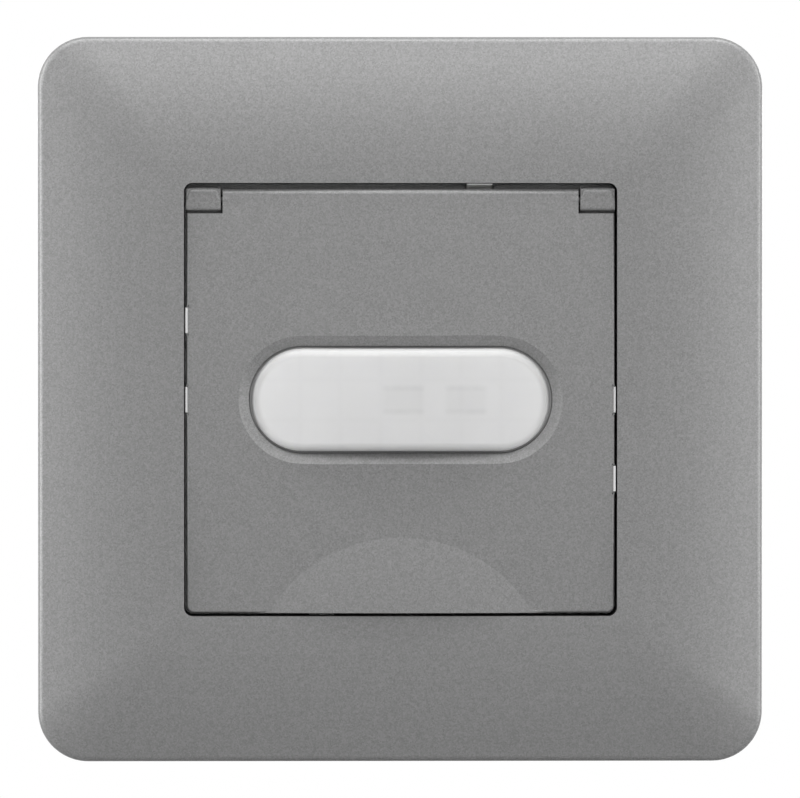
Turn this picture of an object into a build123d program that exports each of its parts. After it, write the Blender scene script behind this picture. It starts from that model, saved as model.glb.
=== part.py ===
from build123d import *
import os
from math import cos, radians, sin, sqrt

# Motion sensor light switch: a flush insert with a hinged cover, in a square cover frame.
# X points right and Z up, and the front looks along -Y. The origin is the middle of the
# insert, on the wall's surface. A height is a distance in front of the wall, so what lies
# inside the wall box has a negative height.

os.makedirs("parts", exist_ok=True)

# Sizes that drive the whole switch
frame_side = 84.0
frame_corner = 5.8
frame_height = 9.6
frame_fall = 2.6
frame_wall = 2.0
frame_edge_round = 0.9
opening_side = 50.1
opening_corner = 1.0
mouth_round = 0.4
skirt_wall = 1.6
skirt_back = 2.2
plate_room = 3.0
plate_thickness = 1.2
slot_land = 3.0
slot_width = 4.6
flange_thickness = 1.4
collar_play = 0.2
collar_wall = 1.2
collar_front = 5.3
lid_back = 7.6
lid_front = 10.0
lid_dome = 600.0
side_gap = 0.3
top_gap = 0.65
bottom_gap = 0.4
hinge_setback = 1.31
hinge_rise = 0.4
pin_radius = 0.6
pin_play = 0.05
lens_length = 34.7
lens_width = 12.0
lens_front = 11.6
lens_wall = 0.8
flange_reach = 2.35
body_corner = 9.0
body_wall = 1.6
body_seam = -8.0
rear_wall = 2.0
rear_back = -27.0
board_play = 0.9
board_thickness = 1.6
sensor_board_front = -3.4
power_board_front = -12.0
terminal_pitch = 9.0
terminal_count = 4
wire_radius = 1.5

# Clearances and the overrun that every cut shares
overrun = 1.0
moving_gap = 0.3
slip_gap = 0.1
thread_play = 0.02

# Places that several pieces share
opening_half = opening_side / 2
collar_half = opening_half - collar_play
collar_side = 2 * collar_half
plate_side = frame_side - 2 * (frame_wall + plate_room)
lid_half = opening_half - side_gap
lid_top = opening_half - top_gap
lid_bottom = bottom_gap - opening_half
hinge_z = lid_top - hinge_setback
hinge_height = lid_back + hinge_rise
plate_front = lid_back - moving_gap
flange_back = plate_thickness
flange_front = flange_back + flange_thickness
sensor_board_back = sensor_board_front - board_thickness
power_board_back = power_board_front - board_thickness
body_side = collar_side - 2 * flange_reach
body_inner = body_side - 2 * body_wall
body_inner_corner = body_corner - body_wall
rear_inner = body_side - 2 * rear_wall
rear_inner_corner = body_corner - rear_wall
rear_floor = rear_back + rear_wall
board_side = body_inner - 2 * board_play
board_half = board_side / 2


def level(height):
    """The plane at this height, with its X to the right and its Y up the wall."""
    return Plane.XZ.offset(height)


def side_level(height, turn):
    """The plane at this height, with its X towards the side at this turn from the right."""
    outward = (cos(radians(turn)), 0, sin(radians(turn)))
    return Plane((0, -height, 0), x_dir=outward, z_dir=(0, -1, 0))


def block(width, length, back, front, at=(0, 0), corner=0, mode=Mode.ADD):
    """A block from height back to height front, its outline centred on at."""
    with BuildSketch(level(back)) as outline:
        with Locations(at):
            if corner:
                RectangleRounded(width, length, corner)
            else:
                Rectangle(width, length)
    extrude(outline.sketch, amount=front - back, mode=mode)


def rod(radius, back, front, at=(0, 0), mode=Mode.ADD):
    """A round bar square to the wall, from height back to height front."""
    with BuildSketch(level(back)) as outline:
        with Locations(at):
            Circle(radius)
    extrude(outline.sketch, amount=front - back, mode=mode)


def capsule(length, width, back, front, mode=Mode.ADD, taper=0):
    """A bar with round ends, from height back to height front, about the middle."""
    with BuildSketch(level(back)) as outline:
        SlotOverall(length, width)
    extrude(outline.sketch, amount=front - back, taper=taper, mode=mode)


def sideways_rod(radius, start, length, height, z, mode=Mode.ADD):
    """A round bar along X that begins at x = start."""
    with BuildSketch(Plane.YZ.offset(start)) as outline:
        with Locations((-height, z)):
            Circle(radius)
    extrude(outline.sketch, amount=length, mode=mode)


def upright_rod(radius, start, end, at, mode=Mode.ADD):
    """A round bar along Z between two heights up the wall, at (x, height)."""
    with BuildSketch(Plane.XY.offset(start)) as outline:
        with Locations((at[0], -at[1])):
            Circle(radius)
    extrude(outline.sketch, amount=end - start, mode=mode)


# Latches: each side of the insert has the same two places, a quarter turn on
latch_width = 2.9
latch_offset = 9.15
latch_slit = 0.6
barb_reach = 0.8
barb_back = 3.6
barb_front = 4.6
nose_wall = 0.23
nose_front = 8.9
short_nose_front = 7.0
short_latch_front = 6.3
nose_notch = 0.15
latch_turns = (0, 90, 180, 270)
side_turns = (0, 180)
latch_inner = collar_half - collar_wall
barb_outer = collar_half + barb_reach
nose_inner = collar_half - nose_wall


def latch_places():
    """The turn and the offset of every latch."""
    places = []
    for turn in latch_turns:
        if turn in side_turns:
            places.append((turn, 0))
        places.append((turn, -latch_offset))
    return places


def latch_block(place, inner, outer, width, back, front, mode=Mode.ADD, shift=0):
    """A block on one side of the insert, from inner to outer away from the middle."""
    turn, offset = place
    with BuildSketch(side_level(back, turn)) as outline:
        with Locations(((inner + outer) / 2, offset + shift)):
            Rectangle(outer - inner, width)
    extrude(outline.sketch, amount=front - back, mode=mode)


# Cover frame: rings of the arched face run from the outer edge to the opening
ring_shares = (0, 0.25, 0.5, 0.75, 1)
pocket_gap = 0.2
frame_reach = (frame_side - opening_side) / 2
frame_arch = (frame_reach**2 + frame_fall**2) / (2 * frame_fall)
frame_edge_height = frame_height - frame_fall
hollow_side = frame_side - 2 * frame_wall
hollow_corner = frame_corner - frame_wall
skirt_side = opening_side + 2 * skirt_wall
skirt_corner = opening_corner + skirt_wall


def face_height(side):
    """Height of the frame's face on the square ring of this side."""
    return frame_height - frame_arch + sqrt(frame_arch**2 - ((side - opening_side) / 2) ** 2)


def rings(outer, inner, outer_corner, inner_corner, lower):
    """Square rings from outer to inner, on the face or this much lower."""
    sections = []
    for share in ring_shares:
        side = outer + (inner - outer) * share
        corner = outer_corner + (inner_corner - outer_corner) * share
        with BuildSketch(level(face_height(side) - lower)) as section:
            RectangleRounded(side, side, corner)
        sections.append(section.sketch)
    return sections


with BuildPart() as frame_hollow:
    block(hollow_side, hollow_side, 0, face_height(hollow_side) - frame_wall, corner=hollow_corner)
    loft(rings(hollow_side, skirt_side, hollow_corner, skirt_corner, frame_wall))
    block(skirt_side, skirt_side, skirt_back, frame_height, corner=skirt_corner, mode=Mode.SUBTRACT)

with BuildPart() as cover_frame:
    block(frame_side, frame_side, 0, frame_edge_height, corner=frame_corner)
    loft(rings(frame_side, opening_side, frame_corner, opening_corner, 0))
    outer_edges = cover_frame.edges().group_by(Axis.Y)[2]
    fillet(outer_edges, frame_edge_round)
    add(frame_hollow.part, mode=Mode.SUBTRACT)
    block(opening_side, opening_side, 0, frame_height, corner=opening_corner, mode=Mode.SUBTRACT)
    mouth_edges = cover_frame.edges().group_by(Axis.Y)[0]
    fillet(mouth_edges, mouth_round)
    for place in latch_places():
        latch_block(
            place,
            opening_half - overrun,
            barb_outer + pocket_gap,
            latch_width + 2 * pocket_gap,
            barb_back - pocket_gap,
            barb_front + pocket_gap,
            mode=Mode.SUBTRACT,
        )
cover_frame.part.label = "cover_frame"
export_step(cover_frame.part, "parts/cover_frame.step")

# Lens: a tapered bar with round ends under a front that curves about an upright axis
lens_crown = 80.0
lens_taper = 2.0
lens_edge_round = 0.9
lens_flange = 1.6
lens_flange_thickness = 1.0
lenslet_columns = 6
lenslet_rows = 3
lenslet_depth = 0.2
lens_inner_length = lens_length - 2 * lens_wall
lens_inner_width = lens_width - 2 * lens_wall
lens_back = collar_front - lens_flange_thickness
lenslet_x = lens_inner_length / (lenslet_columns + 1)
lenslet_z = lens_inner_width / lenslet_rows
lenslet_radius = (lenslet_z / 2) ** 2 / (2 * lenslet_depth)

with BuildPart() as lenslet:
    with Locations((0, lenslet_radius, 0)):
        Sphere(lenslet_radius)
    rod(lenslet_z / 2, -lens_wall, 0, mode=Mode.INTERSECT)

with BuildPart() as lens_hollow:
    capsule(lens_inner_length, lens_inner_width, lens_back, plate_front)
    capsule(lens_inner_length, lens_inner_width, plate_front, lens_front, taper=lens_taper)
    with Locations((0, lens_crown - lens_front, 0)):
        Cylinder(lens_crown - lens_wall, 2 * lens_width, mode=Mode.INTERSECT)
    for column in range(lenslet_columns):
        for row in range(lenslet_rows):
            x = (column - (lenslet_columns - 1) / 2) * lenslet_x
            z = (row - (lenslet_rows - 1) / 2) * lenslet_z
            ceiling = lens_front - lens_crown + sqrt((lens_crown - lens_wall) ** 2 - x**2)
            with Locations((x, -ceiling - lenslet_depth, z)):
                add(lenslet.part)

with BuildPart() as fresnel_lens:
    capsule(lens_length, lens_width, lens_back, plate_front)
    capsule(lens_length, lens_width, plate_front, lens_front, taper=lens_taper)
    with Locations((0, lens_crown - lens_front, 0)):
        Cylinder(lens_crown, 2 * lens_width, mode=Mode.INTERSECT)
    lens_face = fresnel_lens.faces().sort_by(Axis.Y)[0]
    fillet(lens_face.edges(), lens_edge_round)
    capsule(lens_length + 2 * lens_flange, lens_width + 2 * lens_flange, lens_back, collar_front)
    add(lens_hollow.part, mode=Mode.SUBTRACT)
fresnel_lens.part.label = "fresnel_lens"
export_step(fresnel_lens.part, "parts/fresnel_lens.step")

# Lid: a slightly domed plate with a raised thumb lip, hung on two pins at its top edge
lid_corner = 0.9
lid_edge_round = 0.25
lid_top_round = 0.6
lid_recess = 0.5
lid_rim = 1.6
window_rim = 1.4
window_gap = 0.2
bevel_width = 1.2
bevel_depth = 0.45
lip_rise = 0.9
lip_circle = 17.8
lip_drop = 9.06
ear_width = 3.93
ear_gap = 0.25
lug_radius = 1.25
lug_length = 4.0
pin_in_lid = 2.8
catch_width = 4.0
catch_thickness = 1.0
catch_depth = 1.2
catch_setback = 2.4
ear_length = 2 * hinge_setback
ear_inner = lid_half - ear_width
lid_inner = ear_inner - ear_gap
ear_bottom = hinge_z - hinge_setback
lid_shoulder = ear_bottom - ear_gap
window_length = lens_length + 2 * window_gap
window_width = lens_width + 2 * window_gap
lug_start = lid_inner - lug_length
pin_start = lid_inner - pin_in_lid
recess_top = hinge_z - lug_radius - lid_rim
catch_z = lid_bottom + catch_setback

# The lip is part of a ball that cuts the domed front in a circle below the lid's edge
lip_circle_z = lid_bottom - lip_drop
lip_bend = lip_rise / (lip_circle**2 - lip_drop**2)
lip_radius = 1 / (2 * lip_bend + 1 / lid_dome)
lip_z = 2 * lip_bend * lip_radius * lip_circle_z
lip_front = lid_front + lip_bend * (lip_circle**2 - lip_circle_z**2) + lip_z**2 / (2 * lip_radius)
lip_top = lip_circle_z + lip_circle

with BuildPart() as lip:
    with BuildSketch(level(lid_back)):
        with Locations((0, (lid_bottom + lip_top) / 2)):
            Rectangle(2 * lip_circle, lip_top - lid_bottom)
    extrude(amount=lid_front + lip_rise - lid_back)
    with Locations((0, lip_radius - lip_front, lip_z)):
        Sphere(lip_radius, mode=Mode.INTERSECT)

with BuildPart() as lid:
    with BuildSketch(level(lid_back)):
        with Locations((0, (lid_top + lid_bottom) / 2)):
            outline = Rectangle(2 * lid_half, lid_top - lid_bottom)
        fillet(outline.vertices().group_by(Axis.Y)[0], lid_corner)
        for side in (-1, 1):
            with Locations((side * (lid_inner + lid_half) / 2, (lid_shoulder + lid_top) / 2)):
                Rectangle(lid_half - lid_inner, lid_top - lid_shoulder, mode=Mode.SUBTRACT)
    extrude(amount=lid_front - lid_back)
    with Locations((0, lid_dome - lid_front, 0)):
        Sphere(lid_dome, mode=Mode.INTERSECT)
    add(lip.part)
    top_edge = lid.faces().sort_by(Axis.Z)[-1].edges().sort_by(Axis.Y)[0]
    fillet(top_edge, lid_top_round)
    for side in (0, -1):
        side_edge = lid.faces().sort_by(Axis.X)[side].edges().sort_by(Axis.Y)[0]
        fillet(side_edge, lid_edge_round)
    block(
        2 * (lid_half - lid_rim),
        recess_top - lid_bottom - lid_rim,
        lid_back,
        lid_back + lid_recess,
        at=(0, (recess_top + lid_bottom + lid_rim) / 2),
        mode=Mode.SUBTRACT,
    )
    capsule(
        window_length + 2 * window_rim,
        window_width + 2 * window_rim,
        lid_back,
        lid_back + lid_recess,
    )
    for side in (0, 1):
        start = lug_start + side * (-2 * lug_start - lug_length)
        sideways_rod(lug_radius, start, lug_length, hinge_height, hinge_z)
        start = pin_start - overrun / 2 + side * (-2 * pin_start - pin_in_lid + overrun / 2)
        sideways_rod(
            pin_radius + pin_play,
            start,
            pin_in_lid + overrun / 2,
            hinge_height,
            hinge_z,
            mode=Mode.SUBTRACT,
        )
    block(
        catch_width,
        catch_thickness,
        lid_back - catch_depth,
        lid_back + lid_recess,
        at=(0, catch_z),
    )
    for place in latch_places():
        if place[0] in side_turns:
            latch_block(
                place,
                nose_inner - nose_notch,
                lid_half + overrun,
                latch_width + 2 * moving_gap,
                lid_back,
                lid_front,
                mode=Mode.SUBTRACT,
            )
    capsule(window_length, window_width, lid_back, lid_front, mode=Mode.SUBTRACT)
    front_face = lid.faces().filter_by(GeomType.SPHERE).sort_by(SortBy.AREA)[-1]
    window_edges = front_face.inner_wires()[0].edges()
    chamfer(window_edges, bevel_width, bevel_depth, reference=front_face)
lid.part.label = "lid"
export_step(lid.part, "parts/lid.step")

# Hinge pins: one each side, held in the ear and running in the lid
pin_in_ear = 3.3
pin_length = pin_in_lid + ear_gap + pin_in_ear

with BuildPart() as hinge_pins:
    for start in (pin_start, -pin_start - pin_length):
        sideways_rod(pin_radius, start, pin_length, hinge_height, hinge_z)
hinge_pins.part.label = "hinge_pins"
export_step(hinge_pins.part, "parts/hinge_pins.step")

# Centre plate: carries the hinge ears and the settings that the lid covers
plate_corner = 0.7
ear_front = 9.0
ear_top_round = 0.9
ear_bottom_round = 0.6
trough_reach = 1.8
trough_floor = 6.3
tab_length = 30.0
tab_wall = 1.2
tab_back = 2.9
dial_radius = 3.5
dial_setback = 5.5
dial_pitch = 9.5
dial_names = ("time_dial", "light_level_dial", "range_dial")
dial_gap = 0.15
dial_sink = 0.2
switch_setback = 5.0
knob_length = 3.2
knob_width = 2.8
slider_travel = 5.0
slider_gap = 0.2
catch_gap = 0.4
tab_outer = latch_inner - collar_play
dial_front = plate_front - dial_sink
dial_row = dial_setback - board_half
switch_row = board_half - switch_setback
dial_places = [((index - 1) * dial_pitch, dial_row) for index in range(len(dial_names))]

with BuildPart() as centre_plate:
    block(2 * lid_half, 2 * lid_half, collar_front, plate_front, corner=plate_corner)
    for side in (-1, 1):
        ear_start = min(side * ear_inner, side * lid_half)
        with BuildSketch(Plane.YZ.offset(ear_start)) as ear:
            with Locations((-(ear_front + collar_front) / 2, hinge_z)):
                ear_outline = Rectangle(ear_front - collar_front, ear_length)
            front_corners = ear_outline.vertices().group_by(Axis.X)[0].sort_by(Axis.Y)
            fillet(front_corners[0], ear_bottom_round)
            fillet(front_corners[1], ear_top_round)
        extrude(amount=ear_width)
        hole_start = ear_inner - overrun if side > 0 else -ear_inner - pin_in_ear - slip_gap
        sideways_rod(
            pin_radius + thread_play,
            hole_start,
            pin_in_ear + overrun + slip_gap,
            hinge_height,
            hinge_z,
            mode=Mode.SUBTRACT,
        )
    block(
        2 * ear_inner,
        lid_half - hinge_z + trough_reach,
        trough_floor,
        plate_front,
        at=(0, (lid_half + hinge_z - trough_reach) / 2),
        mode=Mode.SUBTRACT,
    )
    capsule(
        lens_length + 2 * slip_gap,
        lens_width + 2 * slip_gap,
        collar_front,
        plate_front,
        mode=Mode.SUBTRACT,
    )
    for place in dial_places:
        rod(dial_radius + dial_gap, collar_front, plate_front, at=place, mode=Mode.SUBTRACT)
    block(
        knob_length + slider_travel + 2 * slider_gap,
        knob_width + 2 * slider_gap,
        collar_front,
        plate_front,
        at=(0, switch_row),
        mode=Mode.SUBTRACT,
    )
    block(
        catch_width + 2 * catch_gap,
        catch_thickness + 2 * catch_gap,
        collar_front,
        plate_front,
        at=(0, catch_z),
        mode=Mode.SUBTRACT,
    )
    for place in latch_places():
        latch_block(
            place,
            latch_inner - slip_gap,
            lid_half + overrun,
            latch_width + 2 * slider_gap,
            collar_front,
            plate_front,
            mode=Mode.SUBTRACT,
        )
    for turn in latch_turns:
        latch_block((turn, 0), tab_outer - tab_wall, tab_outer, tab_length, tab_back, collar_front)
centre_plate.part.label = "centre_plate"
export_step(centre_plate.part, "parts/centre_plate.step")

# Front housing: a tube through the wall plate, with a flange, a collar and its latches
tongue_front = plate_front
pad_radius = 3.6
pad_setback = 4.5
case_screw_radius = 1.1
case_screw_setback = 2.3
case_screw_z = 10.5
case_boss_radius = 2.5
case_screw_front = 0.5
case_head_radius = 2.1
case_head_height = 1.4
case_head_sink = 0.2
plate_screw_radius = 1.0
plate_screw_setback = 2.85
plate_head_radius = 1.9
plate_boss_radius = 1.9
plate_boss_front = 4.6
board_screw_radius = 0.9
board_screw_length = 4.0
board_head_radius = 1.7
board_head_height = 0.9
pad_place = body_inner / 2 - pad_setback
case_screw_x = body_inner / 2 - case_screw_setback
plate_screw_place = collar_half - plate_screw_setback
case_places = [(-case_screw_x, case_screw_z), (case_screw_x, -case_screw_z)]
pad_places = [(i * pad_place, j * pad_place) for i in (-1, 1) for j in (-1, 1)]
board_screw_places = [(pad_place, pad_place), (-pad_place, -pad_place)]
plate_screw_places = [(i * plate_screw_place, j * plate_screw_place) for i in (-1, 1) for j in (-1, 1)]
board_screw_front = sensor_board_back + board_screw_length
plate_screw_front = plate_boss_front - slip_gap

with BuildPart() as front_housing:
    block(collar_side, collar_side, flange_back, collar_front, corner=opening_corner)
    block(
        collar_side - 2 * collar_wall,
        collar_side - 2 * collar_wall,
        flange_front,
        collar_front,
        mode=Mode.SUBTRACT,
    )
    block(body_side, body_side, body_seam, flange_front, corner=body_corner)
    block(
        body_inner,
        body_inner,
        body_seam,
        flange_front,
        corner=body_inner_corner,
        mode=Mode.SUBTRACT,
    )
    for place in pad_places:
        rod(pad_radius, sensor_board_front, flange_front, at=place)
    for place in case_places:
        rod(case_boss_radius, body_seam, flange_front, at=place)
    for place in plate_screw_places:
        rod(plate_boss_radius, flange_back, plate_boss_front, at=place)
    for place in case_places:
        pilot = case_screw_radius + thread_play
        rod(pilot, body_seam, case_screw_front + slip_gap, at=place, mode=Mode.SUBTRACT)
    for place in board_screw_places:
        pilot = board_screw_radius + thread_play
        pilot_front = board_screw_front + slip_gap
        rod(pilot, sensor_board_front, pilot_front, at=place, mode=Mode.SUBTRACT)
    for place in plate_screw_places:
        pilot = plate_screw_radius + thread_play
        rod(pilot, flange_back, plate_boss_front, at=place, mode=Mode.SUBTRACT)
    for place in latch_places():
        for side in (-1, 1):
            latch_block(
                place,
                latch_inner - slip_gap,
                collar_half + overrun,
                latch_slit,
                flange_front,
                collar_front,
                mode=Mode.SUBTRACT,
                shift=side * (latch_width + latch_slit) / 2,
            )
        on_side = place[0] in side_turns
        tongue_end = tongue_front if on_side else short_latch_front
        nose_end = nose_front if on_side else short_nose_front
        latch_block(place, latch_inner, collar_half, latch_width, flange_front, tongue_end)
        latch_block(place, nose_inner, collar_half, latch_width, tongue_end, nose_end)
        latch_block(place, collar_half, barb_outer, latch_width, barb_back, barb_front)
front_housing.part.label = "front_housing"
export_step(front_housing.part, "parts/front_housing.step")

# Support plate: pressed steel, screwed to the wall box through four slots
plate_corner_round = 4.0
opening_play = 0.5
plate_opening = body_side + 2 * opening_play
plate_bar = (plate_side - plate_opening) / 2
slot_length = max(plate_bar - 2 * slot_land, slot_width)
slot_place = (plate_side + plate_opening) / 4

with BuildPart() as support_plate:
    block(plate_side, plate_side, 0, flange_back, corner=plate_corner_round)
    block(
        plate_opening,
        plate_opening,
        0,
        flange_back,
        corner=body_corner + opening_play,
        mode=Mode.SUBTRACT,
    )
    for turn in latch_turns:
        with BuildSketch(side_level(0, turn)):
            with Locations((slot_place, 0)):
                SlotOverall(slot_length, slot_width)
        extrude(amount=flange_back, mode=Mode.SUBTRACT)
    for place in plate_screw_places:
        rod(plate_screw_radius + slip_gap, 0, flange_back, at=place, mode=Mode.SUBTRACT)
        with BuildSketch(level(0)):
            with Locations(place):
                Circle(plate_head_radius + thread_play)
        with BuildSketch(level(plate_head_radius - plate_screw_radius)):
            with Locations(place):
                Circle(plate_screw_radius + thread_play)
        loft(mode=Mode.SUBTRACT)
support_plate.part.label = "support_plate"
export_step(support_plate.part, "parts/support_plate.step")

# Plate screws: countersunk from behind, flush with the wall side of the plate
driver_slot_share = 0.3
driver_depth_share = 0.5

with BuildPart() as plate_screws:
    for place in plate_screw_places:
        with BuildSketch(level(0)):
            with Locations(place):
                Circle(plate_head_radius)
        with BuildSketch(level(plate_head_radius - plate_screw_radius)):
            with Locations(place):
                Circle(plate_screw_radius)
        loft()
        rod(plate_screw_radius, 0, plate_screw_front, at=place)
        slot_depth = (plate_head_radius - plate_screw_radius) * driver_depth_share
        for width, length in ((1, driver_slot_share), (driver_slot_share, 1)):
            block(
                2 * plate_screw_radius * width,
                2 * plate_screw_radius * length,
                0,
                slot_depth,
                at=place,
                mode=Mode.SUBTRACT,
            )
plate_screws.part.label = "plate_screws"
export_step(plate_screws.part, "parts/plate_screws.step")

# Terminals: a wire pushed in from behind lies on a bar, and a rising clamp presses it
terminal_x = [(i - (terminal_count - 1) / 2) * terminal_pitch for i in range(terminal_count)]
terminal_numbers = range(1, terminal_count + 1)
bar_thickness = 1.0
bar_width = 3.2
bar_gap = 0.1
bar_front = -11.0
bar_back = -24.2
cage_width = 5.6
cage_wall = 1.0
cage_height = 6.6
cage_depth = 5.2
cage_play = 0.3
clamp_travel = 2.6
wire_room = 3.3
terminal_screw_height = -21.0
terminal_screw_radius = 1.5
terminal_head_radius = 2.3
terminal_head_height = 1.8
terminal_head_sink = 0.5
shelf_thickness = 1.0
head_bottom = terminal_head_sink - body_side / 2
head_top = head_bottom + terminal_head_height
shelf_bottom = head_top + slip_gap
shelf_top = shelf_bottom + shelf_thickness
cage_bottom = shelf_top + cage_play + clamp_travel
cage_top = cage_bottom + cage_height
bar_top = cage_top - cage_wall - wire_room
bar_bottom = bar_top - bar_thickness
wire_z = bar_top + bar_gap + wire_radius
shank_end = bar_bottom - bar_gap
pocket_top = cage_top + cage_play
pocket_width = cage_width + 2 * cage_play

# Rear housing: a rounded box that holds the power board and the terminals
rear_edge_round = 1.5
rear_post_radius = 2.2
block_top = pocket_top + cage_wall
rest_rib_width = 4.0
rest_rib_place = 9.0
rest_rib_wall = 1.2
sheet_thickness = 0.4
sheet_lap = 0.8
sheet_play = 0.1
sheet_side = rear_inner + 2 * (sheet_lap - sheet_play)
rear_half = rear_inner / 2

with BuildPart() as rear_housing:
    block(body_side, body_side, rear_back, body_seam, corner=body_corner)
    back_edges = rear_housing.faces().sort_by(Axis.Y)[-1].edges()
    fillet(back_edges, rear_edge_round)
    block(
        rear_inner,
        rear_inner,
        power_board_back,
        body_seam,
        corner=rear_inner_corner,
        mode=Mode.SUBTRACT,
    )
    block(
        rear_inner + 2 * sheet_lap,
        rear_inner + 2 * sheet_lap,
        body_seam - sheet_thickness,
        body_seam,
        corner=rear_inner_corner + sheet_lap,
        mode=Mode.SUBTRACT,
    )
    with BuildSketch(level(rear_floor)):
        RectangleRounded(rear_inner, rear_inner, rear_inner_corner)
        with Locations((0, (block_top - rear_half) / 2)):
            Rectangle(rear_inner, rear_half + block_top, mode=Mode.SUBTRACT)
    extrude(amount=power_board_back - rear_floor, mode=Mode.SUBTRACT)
    for side in (-1, 1):
        block(
            rest_rib_width,
            rest_rib_wall,
            rear_floor,
            power_board_back,
            at=(side * rest_rib_place, rear_half - rest_rib_wall / 2),
        )
    for place in case_places:
        rod(rear_post_radius, rear_floor, body_seam, at=place)
    for place in case_places:
        rod(case_screw_radius + slip_gap, rear_back, body_seam, at=place, mode=Mode.SUBTRACT)
        head_room = case_head_radius + slip_gap
        head_seat = rear_back + case_head_sink + case_head_height
        rod(head_room, rear_back, head_seat, at=place, mode=Mode.SUBTRACT)
    for x in terminal_x:
        block(
            pocket_width,
            pocket_top - shelf_top,
            rear_floor,
            power_board_back,
            at=(x, (pocket_top + shelf_top) / 2),
            mode=Mode.SUBTRACT,
        )
        rod(wire_radius, rear_back, rear_floor, at=(x, wire_z), mode=Mode.SUBTRACT)
        upright_rod(
            terminal_screw_radius + slip_gap,
            shelf_bottom,
            shelf_top,
            (x, terminal_screw_height),
            mode=Mode.SUBTRACT,
        )
        upright_rod(
            terminal_head_radius + slip_gap,
            -body_side / 2,
            shelf_bottom,
            (x, terminal_screw_height),
            mode=Mode.SUBTRACT,
        )
rear_housing.part.label = "rear_housing"
export_step(rear_housing.part, "parts/rear_housing.step")

# Case screws: two long ones that hold the housings together
with BuildPart() as case_screws:
    for place in case_places:
        head_back = rear_back + case_head_sink
        rod(case_head_radius, head_back, head_back + case_head_height, at=place)
        rod(case_screw_radius, head_back, case_screw_front, at=place)
        for width, length in ((1, driver_slot_share), (driver_slot_share, 1)):
            block(
                2 * case_screw_radius * width,
                2 * case_screw_radius * length,
                head_back,
                head_back + case_head_height * driver_depth_share,
                at=place,
                mode=Mode.SUBTRACT,
            )
case_screws.part.label = "case_screws"
export_step(case_screws.part, "parts/case_screws.step")

# Terminal bars, screws and clamps
with BuildPart() as terminal_bars:
    for x in terminal_x:
        block(bar_width, bar_thickness, bar_back, bar_front, at=(x, (bar_top + bar_bottom) / 2))
terminal_bars.part.label = "terminal_bars"
export_step(terminal_bars.part, "parts/terminal_bars.step")

for number, x in zip(terminal_numbers, terminal_x):
    with BuildPart() as terminal_screw:
        at = (x, terminal_screw_height)
        upright_rod(terminal_head_radius, head_bottom, head_top, at)
        upright_rod(terminal_screw_radius, head_bottom, shank_end, at)
        with BuildSketch(Plane.XY.offset(head_bottom)):
            with Locations((x, -terminal_screw_height)):
                Rectangle(2 * terminal_head_radius, terminal_head_height * driver_slot_share)
        extrude(amount=terminal_head_height * driver_depth_share, mode=Mode.SUBTRACT)
    terminal_screw.part.label = f"terminal_screw_{number}"
    export_step(terminal_screw.part, f"parts/terminal_screw_{number}.step")

    with BuildPart() as terminal_clamp:
        clamp_back = terminal_screw_height - cage_depth / 2
        clamp_front = terminal_screw_height + cage_depth / 2
        clamp_at = (x, (cage_top + cage_bottom) / 2)
        block(cage_width, cage_height, clamp_back, clamp_front, at=clamp_at)
        block(
            cage_width - 2 * cage_wall,
            cage_height - 2 * cage_wall,
            clamp_back,
            clamp_front,
            at=clamp_at,
            mode=Mode.SUBTRACT,
        )
        upright_rod(
            terminal_screw_radius + pin_play,
            cage_bottom,
            cage_bottom + cage_wall,
            at,
            mode=Mode.SUBTRACT,
        )
    terminal_clamp.part.label = f"terminal_clamp_{number}"
    export_step(terminal_clamp.part, f"parts/terminal_clamp_{number}.step")

# Sensor board: fixed to the pads of the front housing from behind
board_corner = 6.5
notch_gap = 0.2
trimmer_side = 5.6
trimmer_height = 3.0
trimmer_socket_depth = 2.0
dial_stem_radius = 1.2
dial_flange_radius = 4.2
dial_flange_thickness = 0.6
dial_slot_width = 1.0
dial_slot_length = 4.6
dial_slot_depth = 0.8
dial_mark_width = 0.8
dial_mark_depth = 0.4
pin_pitch = 2.54
pin_count = 5
header_setback = 3.0
header_pin = 0.6
header_width = 2.5
header_base = 1.9
socket_front = -7.2
board_hole_gap = 0.15
header_length = pin_pitch * pin_count
header_z = board_half - header_setback
pin_x = [(i - (pin_count - 1) / 2) * pin_pitch for i in range(pin_count)]

with BuildPart() as sensor_board:
    block(board_side, board_side, sensor_board_back, sensor_board_front, corner=board_corner)
    for x, z in case_places:
        reach = board_half + overrun - abs(x)
        notch = case_boss_radius + notch_gap
        rod(notch, sensor_board_back, sensor_board_front, at=(x, z), mode=Mode.SUBTRACT)
        block(
            reach,
            2 * notch,
            sensor_board_back,
            sensor_board_front,
            at=(x + (reach / 2 if x > 0 else -reach / 2), z),
            mode=Mode.SUBTRACT,
        )
    for place in board_screw_places:
        hole = board_screw_radius + slip_gap
        rod(hole, sensor_board_back, sensor_board_front, at=place, mode=Mode.SUBTRACT)
    for x in pin_x:
        hole = header_pin + 2 * board_hole_gap
        block(hole, hole, sensor_board_back, sensor_board_front, at=(x, header_z), mode=Mode.SUBTRACT)
sensor_board.part.label = "sensor_board"
export_step(sensor_board.part, "parts/sensor_board.step")

with BuildPart() as board_screws:
    for place in board_screw_places:
        head_back = sensor_board_back - board_head_height
        rod(board_head_radius, head_back, sensor_board_back, at=place)
        rod(board_screw_radius, head_back, board_screw_front, at=place)
        for width, length in ((1, driver_slot_share), (driver_slot_share, 1)):
            block(
                2 * board_screw_radius * width,
                2 * board_screw_radius * length,
                head_back,
                head_back + board_head_height * driver_depth_share,
                at=place,
                mode=Mode.SUBTRACT,
            )
board_screws.part.label = "board_screws"
export_step(board_screws.part, "parts/board_screws.step")

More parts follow.
